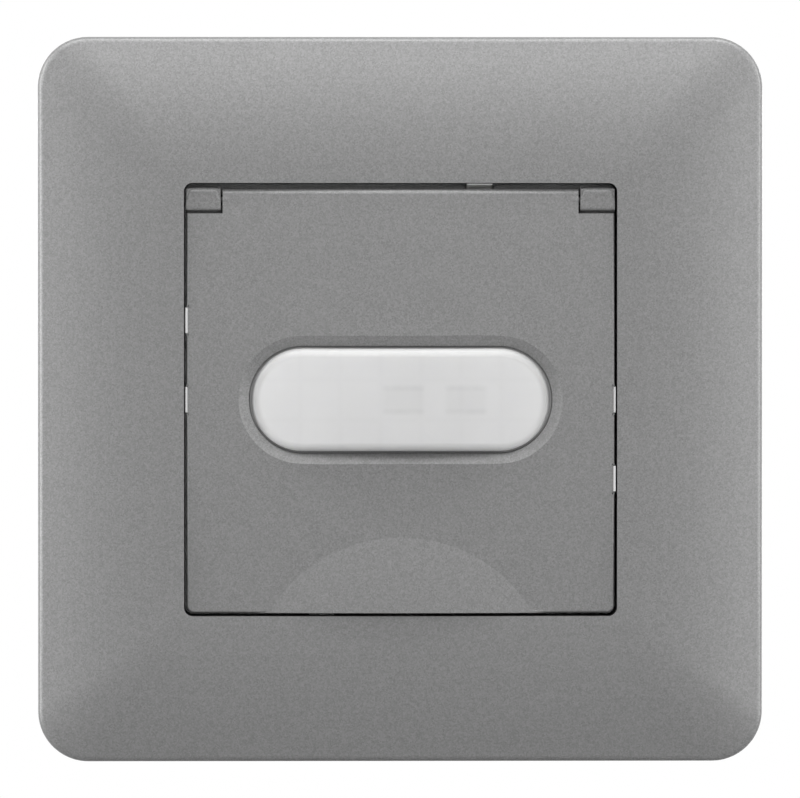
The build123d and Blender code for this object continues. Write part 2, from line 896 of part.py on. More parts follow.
# Lens holder: its foot stands on the sensor board, and its head carries the lens
holder_room = 1.95
holder_wall = 1.6
holder_head = 1.5
foot_length = body_inner - 2 * holder_room
foot_inner_length = foot_length - 2 * holder_wall
head_length = max(lens_length + 2 * lens_flange, foot_length)
head_inner_length = min(lens_length, foot_inner_length)
holder_head_back = lens_back - holder_head
holder_width = lens_width + 2 * lens_flange

with BuildPart() as lens_holder:
    capsule(foot_length, holder_width, sensor_board_front, lens_back)
    capsule(head_length, holder_width, holder_head_back, lens_back)
    capsule(foot_inner_length, lens_width, sensor_board_front, holder_head_back, mode=Mode.SUBTRACT)
    capsule(head_inner_length, lens_width, holder_head_back, lens_back, mode=Mode.SUBTRACT)
lens_holder.part.label = "lens_holder"
export_step(lens_holder.part, "parts/lens_holder.step")

# Motion sensor: a metal can with a dark filter window in its top
can_radius = 4.6
can_rim = 0.4
can_rim_thickness = 0.4
can_height = 4.4
can_wall = 0.4
can_round = 0.5
filter_width = 4.0
filter_height = 3.2
filter_thickness = 0.4
filter_lap = 0.4
light_sensor_x = 9.5
light_sensor_radius = 1.5
light_sensor_height = 3.2
led_radius = 1.5
led_height = 3.0
led_rim = 0.3
led_rim_thickness = 0.8
can_front = sensor_board_front + can_height

with BuildPart() as motion_sensor:
    rod(can_radius, sensor_board_front, can_front)
    can_edge = motion_sensor.faces().sort_by(Axis.Y)[0].edges()
    fillet(can_edge, can_round)
    rod(can_radius + can_rim, sensor_board_front, sensor_board_front + can_rim_thickness)
    block(filter_width, filter_height, can_front - can_wall, can_front, mode=Mode.SUBTRACT)
    block(
        filter_width + 2 * filter_lap,
        filter_height + 2 * filter_lap,
        can_front - can_wall - filter_thickness,
        can_front - can_wall,
        mode=Mode.SUBTRACT,
    )
motion_sensor.part.label = "motion_sensor"
export_step(motion_sensor.part, "parts/motion_sensor.step")

with BuildPart() as sensor_filter:
    block(
        filter_width + 2 * (filter_lap - thread_play),
        filter_height + 2 * (filter_lap - thread_play),
        can_front - can_wall - filter_thickness,
        can_front - can_wall,
    )
sensor_filter.part.label = "sensor_filter"
export_step(sensor_filter.part, "parts/sensor_filter.step")

with BuildPart() as light_sensor:
    at = (light_sensor_x, 0)
    rod(light_sensor_radius, sensor_board_front, sensor_board_front + light_sensor_height, at=at)
    sensor_edge = light_sensor.faces().sort_by(Axis.Y)[0].edges()
    fillet(sensor_edge, light_sensor_radius / 2)
light_sensor.part.label = "light_sensor"
export_step(light_sensor.part, "parts/light_sensor.step")

with BuildPart() as status_light:
    at = (-light_sensor_x, 0)
    rod(led_radius + led_rim, sensor_board_front, sensor_board_front + led_rim_thickness, at=at)
    rod(led_radius, sensor_board_front, sensor_board_front + led_height, at=at)
    with Locations((-light_sensor_x, -(sensor_board_front + led_height), 0)):
        Sphere(led_radius)
status_light.part.label = "status_light"
export_step(status_light.part, "parts/status_light.step")

# Controller chip with its two rows of legs
chip_side = 5.0
chip_thickness = 1.0
chip_setback = 8.5
chip_x = 9.5
chip_legs = 5
leg_pitch = 0.9
leg_width = 0.4
leg_reach = 0.6
leg_thickness = 0.3
chip_place = (chip_x, board_half - chip_setback)

with BuildPart() as controller_chip:
    chip_front = sensor_board_front + chip_thickness
    block(chip_side, chip_side, sensor_board_front, chip_front, at=chip_place)
    for index in range(chip_legs):
        x = chip_place[0] + (index - (chip_legs - 1) / 2) * leg_pitch
        leg_front = sensor_board_front + leg_thickness
        leg_span = chip_side + 2 * leg_reach
        block(leg_width, leg_span, sensor_board_front, leg_front, at=(x, chip_place[1]))
controller_chip.part.label = "controller_chip"
export_step(controller_chip.part, "parts/controller_chip.step")

# Trimmers: one under each dial, each with a socket for the dial's stem
trimmer_front = sensor_board_front + trimmer_height
socket_back = trimmer_front - trimmer_socket_depth
stem_back = socket_back + moving_gap

with BuildPart() as trimmers:
    for place in dial_places:
        block(trimmer_side, trimmer_side, sensor_board_front, trimmer_front, at=place)
    for place in dial_places:
        socket = dial_stem_radius + pin_play
        rod(socket, socket_back, trimmer_front, at=place, mode=Mode.SUBTRACT)
trimmers.part.label = "trimmers"
export_step(trimmers.part, "parts/trimmers.step")

for name, place in zip(dial_names, dial_places):
    with BuildPart() as dial:
        flange_end = collar_front - slip_gap
        rod(dial_radius, flange_end - dial_flange_thickness, dial_front, at=place)
        rod(dial_flange_radius, flange_end - dial_flange_thickness, flange_end, at=place)
        rod(dial_stem_radius, stem_back, flange_end, at=place)
        slot_floor = dial_front - dial_slot_depth
        block(
            dial_slot_width,
            dial_slot_length,
            slot_floor,
            dial_front,
            at=place,
            mode=Mode.SUBTRACT,
        )
        mark_z = place[1] + (dial_slot_length / 2 + dial_radius) / 2
        block(
            dial_mark_width,
            dial_radius - dial_slot_length / 2,
            dial_front - dial_mark_depth,
            dial_front,
            at=(place[0], mark_z),
            mode=Mode.SUBTRACT,
        )
    dial.part.label = name
    export_step(dial.part, f"parts/{name}.step")

# Mode switch: a slide switch body and the knob that drives it through the centre plate
switch_length = 10.6
switch_width = 5.0
switch_height = 4.0
switch_groove_depth = 1.6
switch_groove_width = 1.6
switch_stem = 1.4
knob_flange_length = 11.0
knob_flange_width = 5.4
knob_flange_thickness = 0.7
knob_rib = 0.5
knob_sink = 0.2
switch_front = sensor_board_front + switch_height
groove_length = switch_stem + slider_travel + 2 * slider_gap

with BuildPart() as mode_switch:
    at = (0, switch_row)
    block(switch_length, switch_width, sensor_board_front, switch_front, at=at)
    block(
        groove_length,
        switch_groove_width,
        switch_front - switch_groove_depth,
        switch_front,
        at=at,
        mode=Mode.SUBTRACT,
    )
mode_switch.part.label = "mode_switch"
export_step(mode_switch.part, "parts/mode_switch.step")

with BuildPart() as mode_slider:
    at = (0, switch_row)
    flange_end = collar_front - slip_gap
    knob_front = plate_front - knob_sink
    stem_end = switch_front - switch_groove_depth + moving_gap
    block(knob_flange_length, knob_flange_width, flange_end - knob_flange_thickness, flange_end, at=at)
    block(knob_length, knob_width, flange_end, knob_front, at=at)
    block(switch_stem, switch_groove_width - 2 * slip_gap, stem_end, flange_end, at=at)
    for side in (-1, 1):
        groove_at = (side * knob_length / 4, switch_row)
        block(knob_rib, knob_width, knob_front - knob_rib, knob_front, at=groove_at, mode=Mode.SUBTRACT)
mode_slider.part.label = "mode_slider"
export_step(mode_slider.part, "parts/mode_slider.step")

# Header: pins of the sensor board in a socket of the power board
with BuildPart() as header_pins:
    at = (0, header_z)
    block(header_length, header_width, sensor_board_back - header_base, sensor_board_back, at=at)
    for x in pin_x:
        pin_back = (socket_front + power_board_front) / 2
        block(header_pin, header_pin, pin_back, sensor_board_front, at=(x, header_z))
header_pins.part.label = "header_pins"
export_step(header_pins.part, "parts/header_pins.step")

with BuildPart() as header_socket:
    at = (0, header_z)
    block(header_length, header_width, power_board_front, socket_front, at=at)
    for x in pin_x:
        hole = header_pin + 2 * slip_gap
        hole_back = (socket_front + power_board_front) / 2 - moving_gap
        block(hole, hole, hole_back, socket_front, at=(x, header_z), mode=Mode.SUBTRACT)
header_socket.part.label = "header_socket"
export_step(header_socket.part, "parts/header_socket.step")

# Insulating sheet: clamped between the two housings, with a window for the header
sheet_window_gap = 0.8

with BuildPart() as insulating_sheet:
    sheet_back = body_seam - sheet_thickness
    block(sheet_side, sheet_side, sheet_back, body_seam, corner=rear_inner_corner + sheet_lap)
    for place in case_places:
        hole = case_boss_radius + notch_gap
        rod(hole, sheet_back, body_seam, at=place, mode=Mode.SUBTRACT)
    block(
        header_length + 2 * sheet_window_gap,
        header_width + 2 * sheet_window_gap,
        sheet_back,
        body_seam,
        at=(0, header_z),
        mode=Mode.SUBTRACT,
    )
insulating_sheet.part.label = "insulating_sheet"
export_step(insulating_sheet.part, "parts/insulating_sheet.step")

# Power board: rests on the terminal block and on two ribs of the rear housing
with BuildPart() as power_board:
    block(board_side, board_side, power_board_back, power_board_front, corner=board_corner)
    for x, z in case_places:
        reach = board_half + overrun - abs(x)
        notch = rear_post_radius + notch_gap
        rod(notch, power_board_back, power_board_front, at=(x, z), mode=Mode.SUBTRACT)
        block(
            reach,
            2 * notch,
            power_board_back,
            power_board_front,
            at=(x + (reach / 2 if x > 0 else -reach / 2), z),
            mode=Mode.SUBTRACT,
        )
    for x in terminal_x:
        block(
            bar_width + 2 * board_hole_gap,
            bar_thickness + 2 * board_hole_gap,
            power_board_back,
            power_board_front,
            at=(x, (bar_top + bar_bottom) / 2),
            mode=Mode.SUBTRACT,
        )
power_board.part.label = "power_board"
export_step(power_board.part, "parts/power_board.step")

# Relay: a coil pulls an armature that closes the lamp's contact
relay_length = 20.5
relay_width = 15.3
relay_depth = 10.5
relay_wall = 0.8
relay_base_thickness = 1.2
relay_setback_x = 14.5
relay_setback_z = 10.5
coil_radius = 3.2
coil_flange_radius = 3.7
coil_flange_thickness = 0.8
coil_length = 10.0
core_radius = 1.5
pole_radius = 3.0
pole_thickness = 0.8
armature_gap = 0.6
armature_thickness = 1.0
armature_width = 6.0
pivot_bead_radius = 0.8
yoke_thickness = 1.0
yoke_gap = 0.3
contact_radius = 0.9
contact_thickness = 0.5
contact_gap = 0.3
contact_blade = 0.4
contact_reach = 3.6
coil_offset = 2.7
coil_setback = 2.0
relay_x = relay_setback_x - board_half
relay_z = board_half - relay_setback_z
relay_half = relay_length / 2 - relay_wall
relay_inner_width = relay_width - 2 * relay_wall
relay_base_back = power_board_back - relay_base_thickness
relay_inner_back = power_board_back - relay_depth + relay_wall
coil_height = (relay_base_back + relay_inner_back) / 2
coil_z = relay_z + coil_offset
coil_start = relay_x - relay_half + coil_setback
coil_end = coil_start + coil_length
pole_end = coil_end + pole_thickness
armature_x = pole_end + armature_gap
yoke_top = coil_z - coil_flange_radius - yoke_gap
yoke_bottom = yoke_top - yoke_thickness
armature_pivot_z = (yoke_top + yoke_bottom) / 2
armature_pivot_x = armature_x + armature_thickness / 2
armature_bottom = armature_pivot_z - contact_reach
contact_z = armature_bottom + contact_radius
contact_x = armature_x + armature_thickness

with BuildPart() as relay_cover:
    cover_back = power_board_back - relay_depth
    at = (relay_x, relay_z)
    block(relay_length, relay_width, cover_back, power_board_back, at=at)
    block(
        2 * relay_half,
        relay_inner_width,
        relay_inner_back,
        power_board_back,
        at=at,
        mode=Mode.SUBTRACT,
    )
relay_cover.part.label = "relay_cover"
export_step(relay_cover.part, "parts/relay_cover.step")

with BuildPart() as relay_base:
    block(
        2 * (relay_half - thread_play),
        relay_inner_width - 2 * thread_play,
        relay_base_back,
        power_board_back,
        at=(relay_x, relay_z),
    )
relay_base.part.label = "relay_base"
export_step(relay_base.part, "parts/relay_base.step")

with BuildPart() as relay_coil:
    sideways_rod(coil_radius, coil_start, coil_length, coil_height, coil_z)
    for start in (coil_start, coil_end - coil_flange_thickness):
        sideways_rod(coil_flange_radius, start, coil_flange_thickness, coil_height, coil_z)
    bore = core_radius + thread_play
    sideways_rod(bore, coil_start, coil_length, coil_height, coil_z, mode=Mode.SUBTRACT)
    feet_front = relay_base_back
    feet_back = coil_height + coil_radius
    block(
        coil_flange_thickness,
        2 * coil_radius,
        feet_back,
        feet_front,
        at=(coil_start + coil_flange_thickness / 2, coil_z),
    )
relay_coil.part.label = "relay_coil"
export_step(relay_coil.part, "parts/relay_coil.step")

with BuildPart() as relay_yoke:
    yoke_start = coil_start - yoke_thickness - thread_play
    yoke_back = coil_height - armature_width / 2
    yoke_front = relay_base_back
    yoke_length = pole_end - yoke_start
    at = (yoke_start + yoke_length / 2, armature_pivot_z)
    block(yoke_length, yoke_thickness, yoke_back, yoke_front, at=at)
    upright_length = coil_z + pole_radius - yoke_bottom
    at = (yoke_start + yoke_thickness / 2, yoke_bottom + upright_length / 2)
    block(yoke_thickness, upright_length, yoke_back, yoke_front, at=at)
    core_length = pole_end - yoke_start
    sideways_rod(core_radius, yoke_start, core_length, coil_height, coil_z)
    sideways_rod(pole_radius, coil_end + thread_play, pole_thickness, coil_height, coil_z)
relay_yoke.part.label = "relay_yoke"
export_step(relay_yoke.part, "parts/relay_yoke.step")

with BuildPart() as relay_armature:
    plate_top = coil_z + pole_radius
    plate_length = plate_top - armature_bottom
    armature_back = coil_height - armature_width / 2
    armature_end = coil_height + armature_width / 2
    at = (armature_pivot_x, armature_bottom + plate_length / 2)
    block(armature_thickness, plate_length, armature_back, armature_end, at=at)
    pivot_at = (armature_pivot_x, armature_pivot_z)
    rod(pivot_bead_radius, armature_back, armature_end, at=pivot_at)
    sideways_rod(contact_radius, contact_x, contact_thickness, coil_height, contact_z)
relay_armature.part.label = "relay_armature"
export_step(relay_armature.part, "parts/relay_armature.step")

with BuildPart() as relay_contact:
    fixed_x = contact_x + contact_thickness + contact_gap
    blade_at = (fixed_x + contact_thickness + contact_blade / 2, contact_z)
    blade_back = coil_height - contact_radius
    block(contact_blade, 2 * contact_radius, blade_back, relay_base_back, at=blade_at)
    sideways_rod(contact_radius, fixed_x, contact_thickness, coil_height, contact_z)
relay_contact.part.label = "relay_contact"
export_step(relay_contact.part, "parts/relay_contact.step")

# Power parts behind the board
film_setback_x = 7.8
film_setback_z = 5.8
film_length = 12.5
film_width = 6.0
film_depth = 10.0
varistor_setback_x = 10.0
varistor_setback_z = 11.4
varistor_radius = 3.6
varistor_thickness = 3.4
storage_can_setback = 9.8
storage_can_z = 1.6
storage_can_radius = 4.0
storage_can_depth = 10.0
choke_place = (-3.0, -2.8)
choke_radius = 3.4
choke_core_radius = 1.8
choke_depth = 8.0
choke_disc = 1.2
fuse_place = (3.8, -4.8)
fuse_radius = 1.7
fuse_depth = 8.5
bridge_setback = 9.0
bridge_z = -3.6
bridge_length = 8.4
bridge_width = 6.4
bridge_depth = 2.6
part_round = 0.6
film_place = (board_half - film_setback_x, board_half - film_setback_z)
varistor_place = (board_half - varistor_setback_x, board_half - varistor_setback_z)
can_place = (board_half - storage_can_setback, storage_can_z)
bridge_place = (bridge_setback - board_half, bridge_z)

with BuildPart() as film_capacitor:
    film_back = power_board_back - film_depth
    block(film_length, film_width, film_back, power_board_back, at=film_place)
    film_edges = film_capacitor.edges().filter_by(Axis.Y)
    fillet(film_edges, part_round)
film_capacitor.part.label = "film_capacitor"
export_step(film_capacitor.part, "parts/film_capacitor.step")

with BuildPart() as varistor:
    varistor_height = power_board_back - varistor_radius - moving_gap
    disc_start = varistor_place[1] - varistor_thickness / 2
    at = (varistor_place[0], varistor_height)
    upright_rod(varistor_radius, disc_start, disc_start + varistor_thickness, at)
    for side in (-1, 1):
        lead_at = (varistor_place[0] + side * varistor_radius / 2, varistor_place[1])
        rod(leg_width, varistor_height, power_board_back, at=lead_at)
varistor.part.label = "varistor"
export_step(varistor.part, "parts/varistor.step")

with BuildPart() as storage_capacitor:
    can_back = power_board_back - storage_can_depth
    rod(storage_can_radius, can_back, power_board_back, at=can_place)
    can_rims = storage_capacitor.faces().filter_by(GeomType.PLANE).edges()
    fillet(can_rims, part_round)
storage_capacitor.part.label = "storage_capacitor"
export_step(storage_capacitor.part, "parts/storage_capacitor.step")

with BuildPart() as choke:
    choke_back = power_board_back - choke_depth
    rod(choke_core_radius, choke_back, power_board_back, at=choke_place)
    for back in (choke_back, power_board_back - choke_disc):
        rod(choke_radius, back, back + choke_disc, at=choke_place)
choke.part.label = "choke"
export_step(choke.part, "parts/choke.step")

with BuildPart() as choke_winding:
    winding_back = choke_back + choke_disc
    winding_front = power_board_back - choke_disc
    winding_radius = (choke_radius + choke_core_radius) / 2 + thread_play
    rod(winding_radius, winding_back, winding_front, at=choke_place)
    core_hole = choke_core_radius + thread_play
    rod(core_hole, winding_back, winding_front, at=choke_place, mode=Mode.SUBTRACT)
choke_winding.part.label = "choke_winding"
export_step(choke_winding.part, "parts/choke_winding.step")

with BuildPart() as fuse_resistor:
    fuse_back = power_board_back - fuse_depth
    rod(fuse_radius, fuse_back, power_board_back - part_round, at=fuse_place)
    fuse_rims = fuse_resistor.faces().filter_by(GeomType.PLANE).edges()
    fillet(fuse_rims, part_round)
    rod(leg_width, fuse_back, power_board_back, at=fuse_place)
fuse_resistor.part.label = "fuse_resistor"
export_step(fuse_resistor.part, "parts/fuse_resistor.step")

with BuildPart() as bridge_rectifier:
    bridge_back = power_board_back - bridge_depth
    block(bridge_length, bridge_width, bridge_back, power_board_back, at=bridge_place)
    bridge_edges = bridge_rectifier.faces().sort_by(Axis.Y)[-1].edges()
    chamfer(bridge_edges, part_round / 2)
bridge_rectifier.part.label = "bridge_rectifier"
export_step(bridge_rectifier.part, "parts/bridge_rectifier.step")
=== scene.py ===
"""Looks of a motion sensor light switch, laid out as a Blender add-on around its fixed frame."""

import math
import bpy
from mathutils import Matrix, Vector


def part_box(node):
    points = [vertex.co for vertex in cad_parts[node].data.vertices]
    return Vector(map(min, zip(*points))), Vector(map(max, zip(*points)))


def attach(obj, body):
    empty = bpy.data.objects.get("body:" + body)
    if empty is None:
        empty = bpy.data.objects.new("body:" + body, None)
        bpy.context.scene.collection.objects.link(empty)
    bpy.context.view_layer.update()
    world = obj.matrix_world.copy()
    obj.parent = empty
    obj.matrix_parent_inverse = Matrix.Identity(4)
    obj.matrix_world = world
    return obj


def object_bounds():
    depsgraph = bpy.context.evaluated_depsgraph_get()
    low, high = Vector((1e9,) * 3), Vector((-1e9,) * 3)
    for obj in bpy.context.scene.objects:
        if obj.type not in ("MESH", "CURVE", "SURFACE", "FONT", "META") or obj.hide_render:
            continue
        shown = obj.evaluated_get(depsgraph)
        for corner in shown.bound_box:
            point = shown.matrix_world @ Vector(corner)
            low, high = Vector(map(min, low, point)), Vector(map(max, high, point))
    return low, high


bl_info = {
    "name": "Motion Sensor Light Switch",
    "version": (1, 0, 0),
    "blender": (4, 5, 0),
    "location": "View3D > Sidebar > Light Switch",
    "description": "Finishes, marks, moulded detail and studio of a motion sensor light switch",
    "category": "Object",
}

from contextlib import contextmanager

import bpy
from bpy.props import FloatProperty, FloatVectorProperty, IntProperty, PointerProperty
from bpy.types import Operator, Panel, PropertyGroup
from mathutils import Vector

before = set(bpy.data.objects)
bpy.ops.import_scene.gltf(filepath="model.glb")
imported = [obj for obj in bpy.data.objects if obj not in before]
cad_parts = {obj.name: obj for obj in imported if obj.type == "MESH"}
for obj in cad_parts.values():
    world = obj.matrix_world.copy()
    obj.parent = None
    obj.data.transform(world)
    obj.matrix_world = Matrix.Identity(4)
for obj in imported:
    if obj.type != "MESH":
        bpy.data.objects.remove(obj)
cad_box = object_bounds()

MM = 0.001

# Points less than this apart count as being at one place
NEAR = 0.01 * MM

# Edges sharper than this stay sharp where a piece is shaded smooth
SMOOTH_ANGLE = math.radians(40)

# Turns that make a text, or a cylinder's end, face these ways
FACING_FRONT = (math.pi / 2, 0, 0)
FACING_DOWN = (math.pi, 0, 0)
FACING_RIGHT = (math.pi / 2, 0, math.pi / 2)

# Nodes of the frame, and sizes of theirs that their boxes don't give
DIALS = ("time_dial", "light_level_dial", "range_dial")
TERMINALS = (1, 2, 3, 4)
SOLDERED_PARTS = (
    "film_capacitor",
    "varistor",
    "storage_capacitor",
    "choke",
    "bridge_rectifier",
    "relay_base",
)
DIAL_RADIUS = 3.5 * MM
DIAL_SINK = 0.2 * MM
LID_BACK = 7.6 * MM
LENS_FLANGE = 1.6 * MM

# The lens's own tone as a share of its colour, and how far above that tone the painted light on its lower
# rim can lighten it
LENS_TONE = 1.03
LENS_HEADROOM = 1.2

# Shares of a small resistor's length: from its middle to its black body's ends and to its caps
CHIP_BODY = 0.3
CHIP_CAP = 0.28

# Share of a plate's width that rounds its ends, just before its corners meet
ROUND_END_SHARE = 0.4999

# How far red, green and blue light spread in white plastic
GLOW_DEPTHS = (0.6 * MM, 0.5 * MM, 0.4 * MM)

# Each lamp's name, its width and height, and its place
LAMPS = (
    ("top", (0.6, 0.15), (0, -0.08, 0.4)),
    ("high", (0.6, 0.4), (0, -0.6, 0.5)),
    ("back", (0.6, 0.2), (0, 0.65, 0.05)),
    ("left", (0.15, 0.6), (-0.4, -0.05, 0.02)),
    ("right", (0.15, 0.6), (0.4, -0.05, 0.02)),
    ("front_left", (0.3, 0.6), (-0.45, -0.45, 0.1)),
    ("front_right", (0.3, 0.6), (0.45, -0.45, 0.1)),
)


# Settings
def grey(level):
    """A neutral colour of this level."""
    return (level, level, level)


def colour_property(name, description, colour):
    """A colour that a user may change."""
    return FloatVectorProperty(
        name=name, description=description, subtype="COLOR", size=3, min=0, max=1, default=colour
    )


def length_property(name, description, length):
    """A length in metres that a user may change."""
    return FloatProperty(name=name, description=description, unit="LENGTH", precision=5, default=length)


def share_property(name, description, share):
    """A share from none to all that a user may change."""
    return FloatProperty(name=name, description=description, subtype="FACTOR", min=0, max=1, default=share)


def angle_property(name, description, degrees):
    """An angle that a user may change."""
    return FloatProperty(name=name, description=description, unit="ROTATION", default=math.radians(degrees))


def count_property(name, description, count):
    """A count that a user may change."""
    return IntProperty(name=name, description=description, min=1, default=count)


def power_property(name, description, power):
    """A lamp's power in watts that a user may change."""
    return FloatProperty(name=name, description=description, unit="POWER", default=power)


class LacquerSettings(PropertyGroup):
    """Satin metallic lacquer of the frame, the lid and the centre plate"""

    colour: colour_property("Colour", "Colour of the lacquer", grey(0.22))
    metallic: share_property("Metallic", "Share of metal flakes", 0.3)
    roughness: share_property("Roughness", "Roughness of the satin", 0.4)
    grain_size: length_property("Grain size", "Size of one fleck in the lacquer", 0.16 * MM)
    grain_share: share_property("Grain", "How much the flecks differ in tone", 0.22)
    cloud_size: length_property("Cloud size", "Size of the spots that differ in gloss", 6 * MM)
    cloud_share: share_property("Clouds", "How much the gloss differs", 0.05)
    relief: length_property("Relief", "Depth of the lacquer's fine waves", 0.007 * MM)


class LensSettings(PropertyGroup):
    """Milky lens in front of the motion sensor"""

    colour: colour_property("Colour", "Colour of the lens", grey(0.8))
    roughness: share_property("Roughness", "Roughness of the lens", 0.35)
    depth: length_property("Depth", "How far light spreads in the lens", 1.0 * MM)
    seal_back: length_property("Seal back", "Height at which the seal round the lens begins", 7.32 * MM)
    seal_front: length_property("Seal front", "Height of the seal's front", 9.15 * MM)
    seal_inside: length_property("Seal inside", "How far the seal reaches into the lens", 0.12 * MM)
    seal_outside: length_property("Seal outside", "How far the seal reaches out of the lens", 0.13 * MM)
    # Painted shade on the lens's rim, darkest at its ends, and painted light on its lower rim
    rim: length_property("Rim", "Width of the rim of the lens", 1.3 * MM)
    rim_shade_share: share_property("Rim tone", "How much darker the upper rim of the lens is", 0.34)
    end_shade_share: share_property("End tone", "How much darker still the rim is at the ends", 0.2)
    lower_rim_light_share: share_property("Glow", "How much lighter the lower rim is", 0.2)
    # Painted shade: the lens is painted darker towards its foot
    foot_shade_share: share_property("Sag tone", "How much darker the foot of the lens is than its top", 0.06)
    segment: length_property("Segment", "Length of one segment of the lens", 4.65 * MM)
    segment_line: length_property("Segment line", "Width of the line between segments", 0.5 * MM)
    line_share: share_property("Line tone", "How much darker a line is", 0.012)
    # Painted shade of the sensor's windows as seen through the milky lens
    shade_width: length_property("Shade width", "Width of each sensor window behind the lens", 4.6 * MM)
    shade_height: length_property("Shade height", "Height of each sensor window behind the lens", 2.8 * MM)
    shade_place: length_property("Shade place", "From the lens's middle to the first window's", 0.3 * MM)
    shade_step: length_property("Shade step", "From the first window's middle to the second's", 7.2 * MM)
    shade_share: share_property("Shade tone", "How much darker a window behind the lens is", 0.025)
    shade_edge: length_property("Shade edge", "Width of a window's darker upper and lower edge", 0.6 * MM)
    edge_share: share_property("Edge tone", "How much darker these edges are", 0.045)
    shade_fade: length_property("Shade fade", "Width over which a window's sides fade", 0.8 * MM)
    shade_gap_size: length_property("Wear size", "Size of the gaps in a window's edges", 1.5 * MM)
    cloud_size: length_property("Cloud size", "Size of the clouds in the plastic", 5 * MM)
    cloud_share: share_property("Clouds", "How much the clouds differ in tone", 0.05)
    grain_size: length_property("Grain size", "Size of the grain of the surface", 0.5 * MM)
    relief: length_property("Relief", "Depth of the grain", 0.004 * MM)


class PlasticSettings(PropertyGroup):
    """Moulded plastic, printed marks and the dials"""

    white: colour_property("White", "Colour of the housings", (0.78, 0.77, 0.74))
    dial: colour_property("Dials", "Colour of the dials and the slider", (0.72, 0.72, 0.7))
    seal: colour_property("Seal", "Colour of the seal round the lens", grey(0.3))
    black: colour_property("Black", "Colour of the dark electric parts", grey(0.018))
    sheet: colour_property("Sheet", "Colour of the insulating sheet", (0.7, 0.68, 0.6))
    print_colour: colour_property("Print", "Colour of the printed marks", grey(0.85))
    grain_size: length_property("Mould grain", "Size of the grain that the mould leaves", 0.12 * MM)
    fine_grain: length_property("Fine grain", "Size of the grain of the seal and the latch tips", 0.1 * MM)
    print_grain: length_property("Print grain", "Size of the grain of the printed marks", 0.3 * MM)
    cloud_size: length_property("Cloud size", "Size of the spots that differ in tone", 4 * MM)
    polish_size: length_property("Polish size", "Size of the spots that differ in gloss", 1.5 * MM)
    relief: length_property("Relief", "Depth of the grain", 0.012 * MM)


class MetalSettings(PropertyGroup):
    """Bare metals"""

    zinc: colour_property("Zinc", "Colour of the galvanised plate", (0.56, 0.57, 0.58))
    steel: colour_property("Screw steel", "Colour of the screws", (0.52, 0.5, 0.46))
    pin: colour_property("Pin steel", "Colour of the blackened hinge pins", grey(0.06))
    brass: colour_property("Brass", "Colour of the clamps and bars", (0.72, 0.53, 0.26))
    copper: colour_property("Copper", "Colour of the enamelled wire", (0.6, 0.22, 0.08))
    can: colour_property("Can", "Colour of the sensor's can", grey(0.62))
    solder: colour_property("Solder", "Colour of the solder", grey(0.6))
    spangle: length_property("Spangle", "Size of one crystal in the zinc", 1.8 * MM)
    wire: length_property("Wire", "Pitch of the wound wire", 0.18 * MM)
    wire_relief: length_property("Wire relief", "How far the turns stand out", 0.04 * MM)
    sheet_grain: length_property("Sheet grain", "Size of the grain of the galvanised plate", 0.25 * MM)
    sheet_relief: length_property("Sheet relief", "Depth of that grain", 0.012 * MM)
    relief: length_property("Relief", "Depth of the streaks in the other metals", 0.01 * MM)


class BoardSettings(PropertyGroup):
    """Circuit boards and the parts on them"""

    mask: colour_property("Mask", "Colour of the solder mask", (0.012, 0.13, 0.05))
    trace: colour_property("Trace", "Colour of the mask over copper", (0.03, 0.23, 0.085))
    pitch: length_property("Trace pitch", "Distance between traces", 2.54 * MM)
    bead: length_property("Solder bead", "Radius of a solder joint", 0.7 * MM)
    bead_height: length_property("Bead height", "Height of a solder joint", 0.5 * MM)
    leg_pitch: length_property("Leg pitch", "Distance between a part's legs", 2 * MM)
    chip_length: length_property("Chip length", "Length of a small resistor", 2 * MM)
    chip_height: length_property("Chip height", "Height of a small resistor", 0.55 * MM)
    chip_pitch: length_property("Chip pitch", "Distance between small resistors", 3.6 * MM)
    chip_rise: length_property("Chip rise", "How far above the middle their field lies", 6.5 * MM)
    chip_columns: count_property("Chip columns", "Small resistors side by side", 6)
    chip_rows: count_property("Chip rows", "Rows of small resistors", 3)
    trace_steps: count_property("Trace steps", "Traces beside each other in one run", 4)
    trace_share: share_property("Trace share", "Share of a trace's pitch without copper", 0.45)
    relief: length_property("Relief", "How far the copper stands out", 0.03 * MM)
    gloss_size: length_property("Gloss size", "Size of the spots that differ in gloss", 1.2 * MM)
    yellow: colour_property("Yellow", "Colour of the film capacitor", (0.75, 0.5, 0.05))
    blue: colour_property("Blue", "Colour of the trimmers and the varistor", (0.03, 0.13, 0.42))
    ferrite: colour_property("Ferrite", "Colour of the choke's core", grey(0.06))
    resin: colour_property("Resin", "Colour of the clear resin", (0.85, 0.88, 0.86))
    resin_cloud: length_property("Resin clouds", "Size of the clouds in the resin", 1 * MM)


